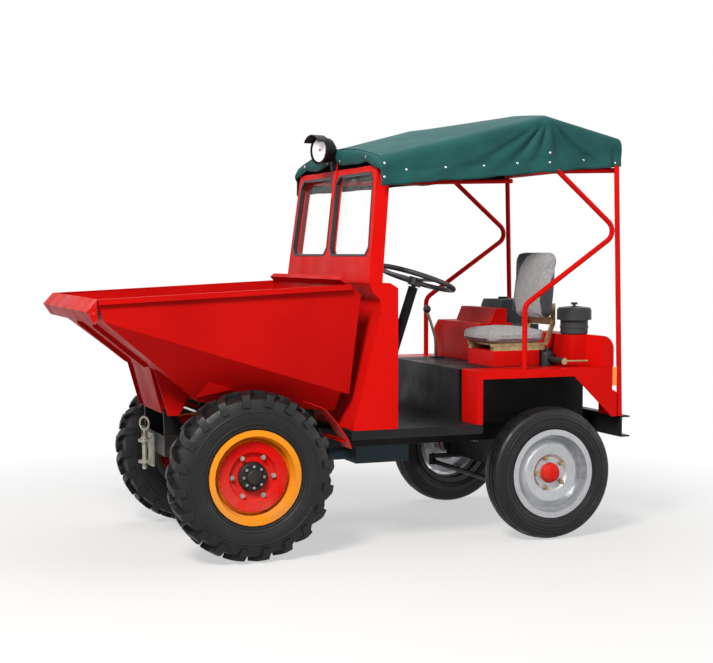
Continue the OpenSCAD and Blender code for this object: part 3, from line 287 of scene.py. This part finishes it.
SLOT_LOOKS = {
    "red_paint": "red", "black_paint": "black", "tyre_rubber": "rubber", "yellow_paint": "yellow",
    "silver_paint": "silver", "canvas": "canvas", "seat_fabric": "cloth", "gold_zinc": "gold",
    "engine_paint": "engine", "dark_paint": "dark", "clear_glass": "glass", "lamp_glass": "lens",
    "amber_plastic": "amber", "black_plastic": "plastic", "pale_zinc": "zinc", "chrome_rod": "chrome",
}


def look(name):
    return MATERIALS[name].material


def dress_nodes():
    """Gives every CAD node the look of its material slot."""
    for part in frame["record"]["subparts"]:
        mesh = NODES[part["node"]].data
        mesh.materials.clear()
        name = SLOT_LOOKS[part["material_slot"]]
        # The skip's red parts take the darker skip paint, which holds painted shade.
        if name == "red" and part["node"].startswith("skip_"):
            name = "skip"
        mesh.materials.append(look(name))


def split_faces(node, looks, pick):
    """Colours a node's faces: pick gives each face's place in looks from the face's middle."""
    mesh = NODES[node].data
    mesh.materials.clear()
    for name in looks:
        mesh.materials.append(look(name))
    for face in mesh.polygons:
        face.material_index = pick(face.center)


# Heights that part the lamps' colours
REFLECTOR_TOP = 0.75
LAMP_BRACKET_TOP = 1.875
# The tipping valve's lever rod lies left of VALVE_Y
VALVE_Y = 0.505
# The gear lever stands right of GEAR_Y, and its stem is bare between two heights
GEAR_Y = -0.2
GEAR_STEM = (0.92, 1.10)


def control_look(spot):
    if spot.y > VALVE_Y:
        return 1
    return 2 if spot.y < GEAR_Y and GEAR_STEM[0] < spot.z < GEAR_STEM[1] else 0


def split_lamps_and_controls():
    split_faces("rear_lamps", ["amber", "reflex"], lambda spot: 0 if spot.z > REFLECTOR_TOP else 1)
    split_faces("work_lamp", ["black", "red"], lambda spot: 0 if spot.z > LAMP_BRACKET_TOP else 1)
    split_faces("controls", ["plastic", "gold", "zinc"], control_look)


# Zones of the wheels: inner and outer radius, least distance outside the tyre's middle, look. The last zone
# is painted shade: faces more than 30 mm inside the tyre's middle are near black.
FRONT_RIM_ZONES = [
    (0.088, 0.117, 0.0225, "zinc"), (0, 0.168, 0, "red"), (0, 1, -0.03, "yellow"), (0, 1, -1, "underside"),
]
FRONT_HUB_ZONES = [(0.040, 0.0575, 0.0465, "bolt"), (0, 1, -1, "black")]
REAR_WHEEL_ZONES = [
    (0.064, 0.0905, 0.0225, "gold"), (0, 0.0525, 0, "red"), (0, 1, -0.03, "silver"), (0, 1, -1, "underside"),
]


def split_wheel(node, tyre, zones):
    """Colours a wheel's faces by zone. The first zone, the nuts, takes no slanting face of the disc."""
    mesh = NODES[node].data
    centre = middle(tyre)
    mesh.materials.clear()
    for zone in zones:
        mesh.materials.append(look(zone[3]))
    for face in mesh.polygons:
        away = face.center - centre
        radius = math.hypot(away.x, away.z)
        outward = away.y if centre.y > 0 else -away.y
        slanting = 0.15 < abs(face.normal.y) < 0.95
        face.material_index = next(
            i for i, (inner, outer, least, _) in enumerate(zones)
            if inner <= radius <= outer and outward >= least and not (slanting and i == 0))


EDGE_NODES = [
    "chassis_frame", "platform", "fender_left", "fender_right", "rear_hood", "engine_cover", "scuttle",
    "windscreen_frame", "mudguards", "skip_brackets", "seat_base", "seat_rails", "tow_clevis", "skip_floor",
    "skip_front", "skip_rear", "skip_left", "skip_right", "skip_hinge", "engine", "gearbox", "rear_axle",
    "knuckle_left", "knuckle_right", "rear_lamps", "fuel_tank",
]
EDGE_WIDTH = 0.0016
LUG_EDGE_WIDTH = 0.004


def soften_edges(node, width=EDGE_WIDTH):
    """Small rounds on the edges of plates and castings."""
    item = NODES[node]
    normals = item.data.attributes.get("custom_normal")
    if normals:
        item.data.attributes.remove(normals)
    weld = item.modifiers.new("weld", "WELD")
    weld.merge_threshold = 1e-5
    bevel = item.modifiers.new("edges", "BEVEL")
    bevel.width = width
    bevel.segments = 2
    bevel.limit_method = "ANGLE"
    bevel.angle_limit = math.radians(32)
    bevel.harden_normals = True
    for face in item.data.polygons:
        face.use_smooth = True


def new_piece(name, verts, faces, body, looks, slot, smooth=True):
    mesh = bpy.data.meshes.new(name)
    mesh.from_pydata([tuple(v) for v in verts], [], faces)
    for each in looks:
        mesh.materials.append(look(each))
    for face in mesh.polygons:
        face.use_smooth = smooth
    piece = bpy.data.objects.new(name, mesh)
    bpy.context.scene.collection.objects.link(piece)
    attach(piece, body)
    return piece


# Shapes that several pieces are made of


def lerp(a, b, t):
    return a + (b - a) * t


def grid_faces(rows, columns):
    """Faces of a sheet whose vertices run row by row, one vertex more than columns in each."""
    step = columns + 1
    corners = (0, step, step + 1, 1)
    return [tuple(i * step + j + corner for corner in corners) for i in range(rows) for j in range(columns)]


def ring_faces(rings, steps):
    """Faces between rings of vertices that follow one another."""
    faces = []
    for k in range(rings - 1):
        for i in range(steps):
            j = (i + 1) % steps
            faces.append((k * steps + i, k * steps + j, (k + 1) * steps + j, (k + 1) * steps + i))
    return faces


def gather(parts):
    """Joins lists of vertices and faces into one."""
    verts = []
    faces = []
    for some, its_faces in parts:
        start = len(verts)
        verts += some
        faces += [tuple(start + i for i in face) for face in its_faces]
    return verts, faces


def dome(centre, normal, radius, height, steps=10, rings=4):
    """Vertices and faces of a low dome on a surface."""
    normal = Vector(normal).normalized()
    u = normal.orthogonal().normalized()
    v = normal.cross(u)
    verts = []
    for k in range(rings):
        a = k / rings * math.pi / 2
        for i in range(steps):
            t = 2 * math.pi * i / steps
            level = (u * math.cos(t) + v * math.sin(t)) * radius * math.cos(a)
            verts.append(Vector(centre) + level + normal * height * math.sin(a))
    verts.append(Vector(centre) + normal * height)
    faces = ring_faces(rings, steps)
    last = (rings - 1) * steps
    faces += [(last + i, last + (i + 1) % steps, len(verts) - 1) for i in range(steps)]
    faces.append(tuple(range(steps - 1, -1, -1)))
    return verts, faces


# Canvas canopy

BOW_X = FRONT_AXLE.x - 1.55
CANOPY_HALF = (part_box("canopy")[1].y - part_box("canopy")[0].y) / 2
CANOPY_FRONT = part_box("canopy")[1].x
CANOPY_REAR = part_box("canopy")[0].x
# Lines from front to rear, as X and height: the canvas's shoulders, its hem, and its crown over the shoulders
CANOPY_TOP = [(CANOPY_FRONT, 1.925), (BOW_X, 2.146), (CANOPY_REAR, 2.043)]
CANOPY_HEM = [(CANOPY_FRONT, 1.775), (FRONT_AXLE.x - 1.576, 1.862), (CANOPY_REAR, 1.901)]
CANOPY_CROWN = [(CANOPY_FRONT, 0.062), (FRONT_AXLE.x - 1.05, 0.078), (BOW_X, 0.030), (CANOPY_REAR, 0.034)]
CANOPY_SAG = 0.010
CANOPY_ROUND = 0.055
CANOPY_INSET = 0.003
CANOPY_FLAT = CANOPY_HALF - CANOPY_INSET - CANOPY_ROUND
CANOPY_ARC = CANOPY_ROUND * math.pi / 2
CANOPY_THICK = 0.0025
CANOPY_CELLS = (150, 140)
TOP_LUMPS = 0.003
# Feet of the folds that run down from the bow's corner, as X, and each fold's depth
CANOPY_FOLDS = [
    (BOW_X + 0.78, 0.006), (BOW_X + 0.56, -0.010), (BOW_X + 0.38, 0.010), (BOW_X + 0.26, -0.015),
    (BOW_X + 0.15, 0.012), (BOW_X + 0.07, -0.016), (BOW_X - 0.02, 0.012), (BOW_X - 0.10, -0.014),
    (BOW_X - 0.19, 0.011), (BOW_X - 0.29, -0.014), (BOW_X - 0.38, 0.010),
]
FOLD_WIDTH = 0.034
FOLD_START = 0.30
# The crease that the rivets pull in: height above the hem, depth and width
CREASE_HEIGHT = 0.062
CREASE_DEPTH = 0.006
CREASE_WIDTH = 0.016
# The hem is rolled, and waves a little; the sides lean in toward it and are tucked in ahead of the rear edge
HEM_WIDTH = 0.022
HEM_ROLL = 0.0022
HEM_DROOP = 0.007
SIDE_WAVE = 0.004
SIDE_LUMPS = 0.006
SIDE_LEAN = 0.006
SIDE_LIMIT = 0.008
TUCK_DEPTH = 0.026
TUCK_AHEAD = 0.040
TUCK_WIDTH = 0.020


def on_line(points, x):
    """Height at x on a line through points, which run from front to rear."""
    for (x0, z0), (x1, z1) in zip(points, points[1:]):
        if x >= x1:
            return lerp(z0, z1, (x - x0) / (x1 - x0))
    return points[-1][1]


def canopy_walk(x):
    """Length of the canvas from its middle line over the shoulder to the hem."""
    return CANOPY_FLAT + CANOPY_ARC + on_line(CANOPY_TOP, x) - CANOPY_ROUND - on_line(CANOPY_HEM, x)


def side_shift(x, z, down, side):
    """How far the canvas's side stands out of its plane, with down from 0 at the shoulder to 1 at the hem."""
    shift = 0
    for foot, depth in CANOPY_FOLDS:
        line = lerp(BOW_X, foot, down)
        width = FOLD_WIDTH * (FOLD_START + down)
        shift += depth * math.sin(math.pi * down ** 0.6) * math.exp(-((x - line) / width) ** 2)
    above = z - on_line(CANOPY_HEM, x) - CREASE_HEIGHT
    shift -= CREASE_DEPTH * math.exp(-(above / CREASE_WIDTH) ** 2) * (0.6 + 0.4 * math.sin(x * 21))
    shift += SIDE_WAVE * down * math.sin(x * 34 + side)
    shift += SIDE_LUMPS * down * noise.noise((x * 9, side * 3, z * 9))
    shift -= TUCK_DEPTH * down * math.exp(-((x - CANOPY_REAR - TUCK_AHEAD) / TUCK_WIDTH) ** 2)
    return shift - SIDE_LEAN * down


def canopy_point(x, s):
    """Point of the canvas at x, with s from -1 at the right hem to 1 at the left one."""
    top = on_line(CANOPY_TOP, x)
    hem = on_line(CANOPY_HEM, x)
    side = 1 if s > 0 else -1
    whole = canopy_walk(x)
    walk = abs(s) * whole
    if walk < CANOPY_FLAT:
        share = 1 - (walk / CANOPY_FLAT) ** 2
        near, far = (CANOPY_FRONT, BOW_X) if x > BOW_X else (BOW_X, CANOPY_REAR)
        sag = CANOPY_SAG * math.sin(math.pi * (x - near) / (far - near))
        z = top + (on_line(CANOPY_CROWN, x) - sag) * share
        z += TOP_LUMPS * noise.noise((x * 5, side * walk * 5, 0.3)) * share
        return Vector((x, side * walk, z))
    if walk < CANOPY_FLAT + CANOPY_ARC:
        a = (walk - CANOPY_FLAT) / CANOPY_ROUND
        y = CANOPY_FLAT + CANOPY_ROUND * math.sin(a)
        z = top - CANOPY_ROUND + CANOPY_ROUND * math.cos(a)
    else:
        y = CANOPY_FLAT + CANOPY_ROUND
        z = top - CANOPY_ROUND - (walk - CANOPY_FLAT - CANOPY_ARC)
    down = min(max((top - z) / (top - hem), 0), 1)
    y += side_shift(x, z, down, side)
    if whole - walk < HEM_WIDTH:
        y += HEM_ROLL
    z += HEM_DROOP * down ** 3 * noise.noise((x * 11, side * 5, 0.7))
    return Vector((x, side * min(y, CANOPY_HALF + SIDE_LIMIT), z))


def canopy_cover():
    """One sheet of canvas over the front bar, the bow and the rear bar, near black on its inside as painted
    shade under the canopy.
    """
    along, around = CANOPY_CELLS
    verts = []
    for i in range(along + 1):
        x = lerp(CANOPY_FRONT, CANOPY_REAR, i / along)
        verts += [canopy_point(x, lerp(-1, 1, j / around)) for j in range(around + 1)]
    faces = grid_faces(along, around)
    cover = new_piece("canopy_canvas", verts, faces, "chassis", ["inside_painted_shade", "canvas"], "canvas")
    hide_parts("canopy")
    thick = cover.modifiers.new("canvas", "SOLIDIFY")
    thick.thickness = CANOPY_THICK
    thick.offset = -1
    thick.material_offset = 1
    thick.material_offset_rim = 1


LAMP_NOTCH = 0.034
FLAP_CELLS = (110, 8)
FLAP_THICK = 0.002
# How far a flap goes along the canvas's edge, onto the round of the shoulder
FLAP_REACH = CANOPY_FLAT + 1.4 * CANOPY_ROUND
# A flap's top and its outer end are tucked under the canvas, the end over its last share
FLAP_TUCK = 0.005
FLAP_CORNER = 0.94
# A flap's least drop, how it follows the crown, its scallops' depth, and how far it stands out
FLAP_LEAST = 0.03
FLAP_CROWN_SHARE = 0.55
FLAP_SCALLOP = 0.020
FLAP_LUMPS = 0.008
FLAP_OUT = 0.002
FLAP_BULGE = 0.008
FLAP_FLARE = 0.010
FLAP_RIPPLE = 0.003


def end_flap(name, x, out, side, height, scallops, notch):
    """Flap that hangs from one end of the canvas, from near the middle to the corner."""
    across, down = FLAP_CELLS
    whole = canopy_walk(x)
    verts = []
    for i in range(across + 1):
        share = i / across
        edge = canopy_point(x, side * lerp(notch, FLAP_REACH, share) / whole)
        scallop = abs(math.sin(math.pi * scallops * share))
        corner = max((share - FLAP_CORNER) / (1 - FLAP_CORNER), 0)
        drop = height + FLAP_CROWN_SHARE * (edge.z - on_line(CANOPY_TOP, x)) + FLAP_SCALLOP * scallop
        drop = max(drop + FLAP_LUMPS * noise.noise((edge.y * 6, x, 0)), FLAP_LEAST)
        for j in range(down + 1):
            t = j / down
            z = edge.z - drop * t
            beside = canopy_point(x, side * (whole - z + on_line(CANOPY_HEM, x)) / whole)
            away = FLAP_OUT + FLAP_BULGE * math.sin(math.pi * t) + FLAP_FLARE * t * scallop
            away += FLAP_RIPPLE * noise.noise((edge.y * 15, t * 2, x))
            away = lerp(away, -FLAP_TUCK, corner) if j else -FLAP_TUCK
            verts.append((x + out * away, lerp(edge.y, beside.y, corner), z))
    flap = new_piece(name, verts, grid_faces(across, down), "chassis", ["canvas"], "canvas")
    thick = flap.modifiers.new("canvas", "SOLIDIFY")
    thick.thickness = FLAP_THICK


def canopy_flaps():
    """Scalloped front flaps on both sides of the lamp's bracket, and a pair at the rear."""
    for side, name in ((1, "left"), (-1, "right")):
        end_flap("canopy_flap_" + name, CANOPY_FRONT, 1, side, 0.034, 1.5, LAMP_NOTCH)
        end_flap("canopy_rear_flap_" + name, CANOPY_REAR, -1, side, 0.105, 2, 0)


# Rivets along the hem: distance behind the front axle and height above the hem
HEM_RIVETS = [
    (0.658, 0.108), (0.658, 0.042), (0.773, 0.070), (0.981, 0.064), (1.193, 0.060), (1.379, 0.058),
    (1.556, 0.098), (1.557, 0.050), (1.756, 0.045), (1.951, 0.020),
]
# Rivets of the front flaps: distances from the middle, height, and distance ahead of the canvas's edge
FLAP_RIVETS = [0.093, 0.275, 0.449]
FLAP_RIVET_Z = 1.926
FLAP_RIVET_OUT = 0.010
RIVET_RADIUS = 0.0075
RIVET_HEIGHT = 0.005


def canopy_rivets():
    parts = []
    for side in (1, -1):
        for back, up in HEM_RIVETS:
            x = FRONT_AXLE.x - back
            whole = canopy_walk(x)
            place = canopy_point(x, side * (whole - up) / whole)
            parts.append(dome(place, (0, side, 0), RIVET_RADIUS, RIVET_HEIGHT))
        for y in FLAP_RIVETS:
            place = (CANOPY_FRONT + FLAP_RIVET_OUT, side * y, FLAP_RIVET_Z)
            parts.append(dome(place, (1, 0, 0), RIVET_RADIUS, RIVET_HEIGHT))
    new_piece("canopy_rivets", *gather(parts), "chassis", ["rivet"], "pale_zinc")


# Moulded rings on the tyres' sidewalls: radius and thickness
FRONT_RINGS = [(0.240, 0.0040), (0.256, 0.0025), (0.312, 0.0030)]
REAR_RINGS = [(0.238, 0.0030), (0.250, 0.0020), (0.284, 0.0028), (0.300, 0.0020)]
RING_SPREAD = 1.6


def revolve(centre, profile, steps=120):
    """Vertices and faces of a ring about a wheel's axle, from a closed profile of radius and Y."""
    verts = []
    faces = []
    count = len(profile)
    for i in range(steps):
        t = 2 * math.pi * i / steps
        verts += [centre + Vector((r * math.cos(t), y, r * math.sin(t))) for r, y in profile]
    for i in range(steps):
        for j in range(count):
            a, b = i * count, (i + 1) % steps * count
            k = (j + 1) % count
            faces.append((a + j, a + k, b + k, b + j))
    return verts, faces


def tyre_rings(tyre, body, rings):
    mesh = NODES[tyre].data
    skin = BVHTree.FromPolygons([v.co for v in mesh.vertices], [list(p.vertices) for p in mesh.polygons])
    centre = middle(tyre)
    parts = []
    for side in (1, -1):
        for radius, thick in rings:
            start = centre + Vector((radius, 0.4 * side, 0))
            wall = skin.ray_cast(start, Vector((0, -side, 0)))[0].y - centre.y
            turns = [2 * math.pi * k / 8 for k in range(8)]
            half = RING_SPREAD * thick
            profile = [(radius + half * math.cos(t), wall + thick * math.sin(t)) for t in turns]
            parts.append(revolve(centre, profile))
    new_piece(tyre + "_rings", *gather(parts), body, ["rubber"], "tyre_rubber")


# Windscreen seals and lamp

SCREEN_LEAN = math.radians(6.34)
SCREEN_FOOT = Vector((FRONT_AXLE.x - 0.580, 0, 1.310))
SCREEN_UP = Vector((-math.sin(SCREEN_LEAN), 0, math.cos(SCREEN_LEAN)))
SCREEN_OUT = Vector((math.cos(SCREEN_LEAN), 0, math.sin(SCREEN_LEAN)))


def glass_outline(side):
    """Corners of one pane in the windscreen's plane, as Y and height, in order round it, and their middle."""
    corners = {}
    for v in NODES["windscreen_glass"].data.vertices:
        if v.co.y * side > 0:
            away = v.co - SCREEN_FOOT
            corners[(round(v.co.y, 4), round(away.dot(SCREEN_UP), 4))] = True
    centre = Vector((sum(c[0] for c in corners), sum(c[1] for c in corners))) / len(corners)
    return sorted(corners, key=lambda c: math.atan2(c[1] - centre.y, c[0] - centre.x)), centre


SEAL_WIDTH = 0.010
# Places of the seal's front and rear, measured forward from the windscreen's plane
SEAL_FRONT = 0.002
SEAL_REAR = -0.018


def window_seals():
    """A rubber liner round each pane, standing a little proud in front."""
    section = ((0.0, SEAL_FRONT), (SEAL_WIDTH, SEAL_FRONT), (SEAL_WIDTH, SEAL_REAR), (0.0, SEAL_REAR))
    for side, name in ((1, "left"), (-1, "right")):
        outline, centre = glass_outline(side)
        verts = []
        for inset, depth in section:
            for y, up in outline:
                y += math.copysign(inset, centre.x - y)
                up += math.copysign(inset, centre.y - up)
                verts.append(SCREEN_FOOT + Vector((0, y, 0)) + SCREEN_UP * up + SCREEN_OUT * depth)
        count = len(outline)
        faces = ring_faces(len(section), count)
        last = (len(section) - 1) * count
        for i in range(count):
            j = (i + 1) % count
            faces.append((last + i, last + j, j, i))
        new_piece("window_seal_" + name, verts, faces, "chassis", ["seal"], "black_plastic", smooth=False)


LAMP_TURN = math.radians(14)
BOWL_RADIUS = 0.060
BOWL_DEPTH = 0.006
# Distance of the bowl's rim ahead of the lens's middle
BOWL_AHEAD = 0.011


def lamp_reflector():
    """Bowl behind the work lamp's glass."""
    face = middle("work_lamp_lens")
    out = Vector((math.cos(LAMP_TURN), math.sin(LAMP_TURN), 0))
    across = Vector((-out.y, out.x, 0))
    up = Vector((0, 0, 1))
    steps, rings = 36, 8
    verts = []
    for k in range(1, rings + 1):
        r = BOWL_RADIUS * k / rings
        back = BOWL_DEPTH * (1 - (k / rings) ** 2)
        for i in range(steps):
            t = 2 * math.pi * i / steps
            verts.append(face + across * r * math.cos(t) + up * r * math.sin(t) - out * (back - BOWL_AHEAD))
    faces = ring_faces(rings, steps)
    faces.append(tuple(range(steps)))
    new_piece("lamp_reflector", verts, faces, "chassis", ["reflector"], "chrome_rod")


# Seat

SEAT_CUTS = 38
SEAT_BACK_TURN = math.radians(85)
SEAT_BACK_SIZE = (0.345, 0.066)
SEAM = 0.108
SEAM_DEPTH = 0.006
PAD_CORNER = 0.050
# Radius of a pad's edges as a share of its thickness
PAD_ROUND = 0.40
# Room between a pad and the box of its node
PAD_ROOM = Vector((0.010, 0.010, 0.012))
STUFFING_FRAMES = 20
SEAT_PRESSURE = 3


def pad(name, centre, size, tilt, wing, seams, dark_from):
    """A seat part before it is stuffed, and its sewn vertices: a rounded block with wings outside two seams.

    seams gives each seam's distance from the middle at the top and at the foot, the right seam first.
    Of the dark wings, the left one's side is dark only below dark_from, a height from -1 at the foot to 1.
    """
    bm = bmesh.new()
    bmesh.ops.create_cube(bm, size=2)
    bmesh.ops.subdivide_edges(bm, edges=bm.edges[:], cuts=SEAT_CUTS, use_grid_fill=True)
    half = Vector(size) / 2
    r = min(size) * PAD_ROUND
    seam_column = round(SEAM / half.y * (SEAT_CUTS + 1)) / (SEAT_CUTS + 1)
    for face in bm.faces:
        spot = face.calc_center_median()
        outside = abs(spot.y) > seam_column
        face.material_index = 1 if outside and (spot.y < 0 or -spot.x < dark_from - 0.5 * spot.z) else 0
        face.smooth = True
    sewn = []
    for v in bm.verts:
        top, foot = seams[0] if v.co.y < 0 else seams[1]
        seam = lerp(top, foot, v.co.x / 2 + 0.5)
        wide = abs(v.co.y)
        at_seam = abs(wide - seam_column) < 0.01
        rise = max((wide - seam_column) / (1 - seam_column), 0)
        y = seam * wide / seam_column if wide <= seam_column else lerp(seam, half.y, rise)
        p = Vector((v.co.x * half.x, math.copysign(y, v.co.y), v.co.z * half.z))
        inner = Vector([max(-h + r, min(h - r, c)) for c, h in zip(p, half)])
        out = p - inner
        q = inner + out.normalized() * r if out.length > 1e-9 else p
        if p.z > 0:
            q.z += wing * math.sin(math.pi * rise * 0.6) * p.z / half.z
        if at_seam and p.z > half.z * 0.4:
            q.z -= SEAM_DEPTH
            sewn.append(v.index)
        if abs(v.co.z) < 0.12 and max(abs(v.co.x), wide) > 0.99:
            sewn.append(v.index)
        corner = Vector((abs(q.x) - half.x + PAD_CORNER, abs(q.y) - half.y + PAD_CORNER))
        if min(corner) > 0:
            corner *= max(corner) / corner.length
            q.x = math.copysign(half.x - PAD_CORNER + corner.x, q.x)
            q.y = math.copysign(half.y - PAD_CORNER + corner.y, q.y)
        v.co = q
    mesh = bpy.data.meshes.new(name)
    bm.to_mesh(mesh)
    bm.free()
    mesh.materials.append(look("cloth"))
    mesh.materials.append(look("bolster" if dark_from > -1 else "cloth"))
    piece = bpy.data.objects.new(name, mesh)
    piece.location = centre
    piece.rotation_euler = (0, tilt, 0)
    bpy.context.scene.collection.objects.link(piece)
    return piece, sewn


def stuff(piece, sewn, pressure):
    """Blows the cover up a little between its seams, as stuffing does, and keeps that shape."""
    seams = piece.vertex_groups.new(name="seams")
    seams.add(sewn, 1.0, "REPLACE")
    cloth = piece.modifiers.new("stuffing", "CLOTH")
    cloth.settings.quality = 5
    cloth.settings.tension_stiffness = 30
    cloth.settings.compression_stiffness = 30
    cloth.settings.shear_stiffness = 15
    cloth.settings.bending_stiffness = 4
    cloth.settings.vertex_group_mass = seams.name
    cloth.settings.use_pressure = True
    cloth.settings.uniform_pressure_force = pressure
    cloth.settings.effector_weights.gravity = 0
    cloth.collision_settings.use_collision = False
    scene = bpy.context.scene
    for step in range(1, STUFFING_FRAMES + 1):
        scene.frame_set(step)
    shaped = bpy.data.meshes.new_from_object(piece.evaluated_get(bpy.context.evaluated_depsgraph_get()))
    shaped.name = piece.data.name + "_stuffed"
    piece.modifiers.clear()
    piece.data = shaped
    scene.frame_set(1)


def seat_part(node, size, tilt, wing, seams, dark_from):
    low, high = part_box(node)
    piece, sewn = pad(node + "_cloth", (low + high) / 2, size, tilt, wing, seams, dark_from)
    stuff(piece, sewn, SEAT_PRESSURE)
    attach(piece, "chassis")
    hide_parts(node)


def seat():
    low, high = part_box("seat_cushion")
    seat_part("seat_cushion", high - low - PAD_ROOM, 0, 0.004, [(SEAM, SEAM)] * 2, -1)
    low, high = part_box("seat_back")
    size = Vector((SEAT_BACK_SIZE[0], high.y - low.y - PAD_ROOM.y, SEAT_BACK_SIZE[1] - PAD_ROOM.z))
    edge = size.y / 2 - 0.012
    seat_part("seat_back", size, SEAT_BACK_TURN, 0.012, [(0.055, 0.145), (edge, 0.150)], 0.25)


# Stage, light and camera

PHOTO_SIZE = (713, 663)
FOCAL_PIXELS = 1407.13
CAMERA_AHEAD = 1.9589
CAMERA_LEFT = 6.8741
CAMERA_HEIGHT = 1.4517
CAMERA_YAW = 0.3763
CAMERA_DOWN = 0.0553


# Lamps: name, place, target, size, power and colour
LAMPS = [
    ("key", (3.8, 4.4, 5.6), (0.1, 0, 0.8), 1.8, 760, (1, 0.97, 0.93)),
    ("sky", (-0.5, -1.5, 6.5), (0, 0, 0.8), 5.0, 240, (0.93, 0.96, 1)),
    ("fill", (-5.5, 3.5, 2.6), (0, 0, 0.9), 3.0, 110, (1, 1, 1)),
]
WORLD_LIGHT = 0.24


def area_light(name, place, target, size, power, color):
    data = bpy.data.lights.new(name, "AREA")
    data.size = size
    data.energy = power
    data.color = color
    lamp = bpy.data.objects.new(name, data)
    lamp.location = place
    lamp.rotation_euler = (Vector(target) - Vector(place)).to_track_quat("-Z", "Y").to_euler()
    bpy.context.scene.collection.objects.link(lamp)


def seen_share(tree):
    """1 for rays from the camera, and for those that mirror or pass glass, 0 for the light on the object."""
    path = tree.nodes.new("ShaderNodeLightPath")
    share = path.outputs["Is Camera Ray"]
    for kind in ("Is Glossy Ray", "Is Transmission Ray"):
        most = tree.nodes.new("ShaderNodeMath")
        most.operation = "MAXIMUM"
        tree.links.new(share, most.inputs[0])
        tree.links.new(path.outputs[kind], most.inputs[1])
        share = most.outputs["Value"]
    return share


# Distances between which the floor runs out to white, and how far it has gone under the object
FADE_FROM = 1.6
FADE_TO = 3.4
FADE_NEAR = 0.55
FLOOR = (0.55, 0.54, 0.53)
FLOOR_REACH = 60


def fade_to_white(floor_look):
    """The floor keeps the object's shadow and runs out to the white of the background."""
    far = floor_look.node("ShaderNodeVectorMath", operation="LENGTH")
    floor_look.link(floor_look.position(), far.inputs[0])
    lift = floor_look.node("ShaderNodeMapRange")
    lift.inputs["From Min"].default_value = FADE_FROM
    lift.inputs["From Max"].default_value = FADE_TO
    lift.inputs["To Min"].default_value = FADE_NEAR
    floor_look.link(far.outputs["Value"], lift.inputs["Value"])
    share = floor_look.times(lift.outputs["Result"], seen_share(floor_look.tree))
    glow = floor_look.node("ShaderNodeEmission")
    mix = floor_look.node("ShaderNodeMixShader")
    floor_look.link(share, mix.inputs["Fac"])
    floor_look.link(floor_look.surface.outputs["BSDF"], mix.inputs[1])
    floor_look.link(glow.outputs["Emission"], mix.inputs[2])
    floor_look.link(mix.outputs["Shader"], floor_look.tree.nodes["Material Output"].inputs["Surface"])


def white_world():
    """White to the camera, in mirrors and through glass, and a weaker light on the object."""
    world = bpy.data.worlds.new("studio")
    bpy.context.scene.world = world
    world.use_nodes = True
    tree = world.node_tree
    background = tree.nodes["Background"]
    background.inputs["Color"].default_value = (1, 1, 1, 1)
    strength = tree.nodes.new("ShaderNodeMapRange")
    strength.inputs["To Min"].default_value = WORLD_LIGHT
    strength.inputs["To Max"].default_value = 1.0
    tree.links.new(seen_share(tree), strength.inputs["Value"])
    tree.links.new(strength.outputs["Result"], background.inputs["Strength"])


def pale_floor():
    mesh = bpy.data.meshes.new("floor")
    corners = [(-1, -1), (1, -1), (1, 1), (-1, 1)]
    mesh.from_pydata([(x * FLOOR_REACH, y * FLOOR_REACH, 0) for x, y in corners], [], [(0, 1, 2, 3)])
    floor_look = Shader("floor", FLOOR, 0.9)
    floor_look.set("Specular IOR Level", 0.0)
    fade_to_white(floor_look)
    mesh.materials.append(floor_look.material)
    floor = bpy.data.objects.new("floor", mesh)
    bpy.context.scene.collection.objects.link(floor)


def photo_camera():
    lens = bpy.data.cameras.new("camera")
    lens.sensor_width = 36
    lens.lens = FOCAL_PIXELS * lens.sensor_width / PHOTO_SIZE[0]
    camera = bpy.data.objects.new("camera", lens)
    camera.location = (FRONT_AXLE.x + CAMERA_AHEAD, CAMERA_LEFT, CAMERA_HEIGHT)
    level = math.cos(CAMERA_DOWN)
    sight = Vector((-math.sin(CAMERA_YAW) * level, -math.cos(CAMERA_YAW) * level, -math.sin(CAMERA_DOWN)))
    camera.rotation_euler = sight.to_track_quat("-Z", "Y").to_euler()
    bpy.context.scene.collection.objects.link(camera)
    bpy.context.scene.camera = camera


def studio():
    bpy.context.scene.view_settings.view_transform = "Standard"
    white_world()
    for lamp in LAMPS:
        area_light(*lamp)
    pale_floor()
    photo_camera()


dress_nodes()
for name in EDGE_NODES:
    soften_edges(name)
for side in ("left", "right"):
    split_wheel("front_rim_" + side, "front_tyre_" + side, FRONT_RIM_ZONES)
    split_wheel("front_hub_" + side, "front_tyre_" + side, FRONT_HUB_ZONES)
    split_wheel("rear_wheel_" + side, "rear_tyre_" + side, REAR_WHEEL_ZONES)
    soften_edges("front_tyre_" + side, LUG_EDGE_WIDTH)
    tyre_rings("front_tyre_" + side, "front_wheel_" + side, FRONT_RINGS)
    tyre_rings("rear_tyre_" + side, "rear_wheel_" + side, REAR_RINGS)
split_lamps_and_controls()
canopy_cover()
canopy_flaps()
canopy_rivets()
window_seals()
lamp_reflector()
seat()
studio()
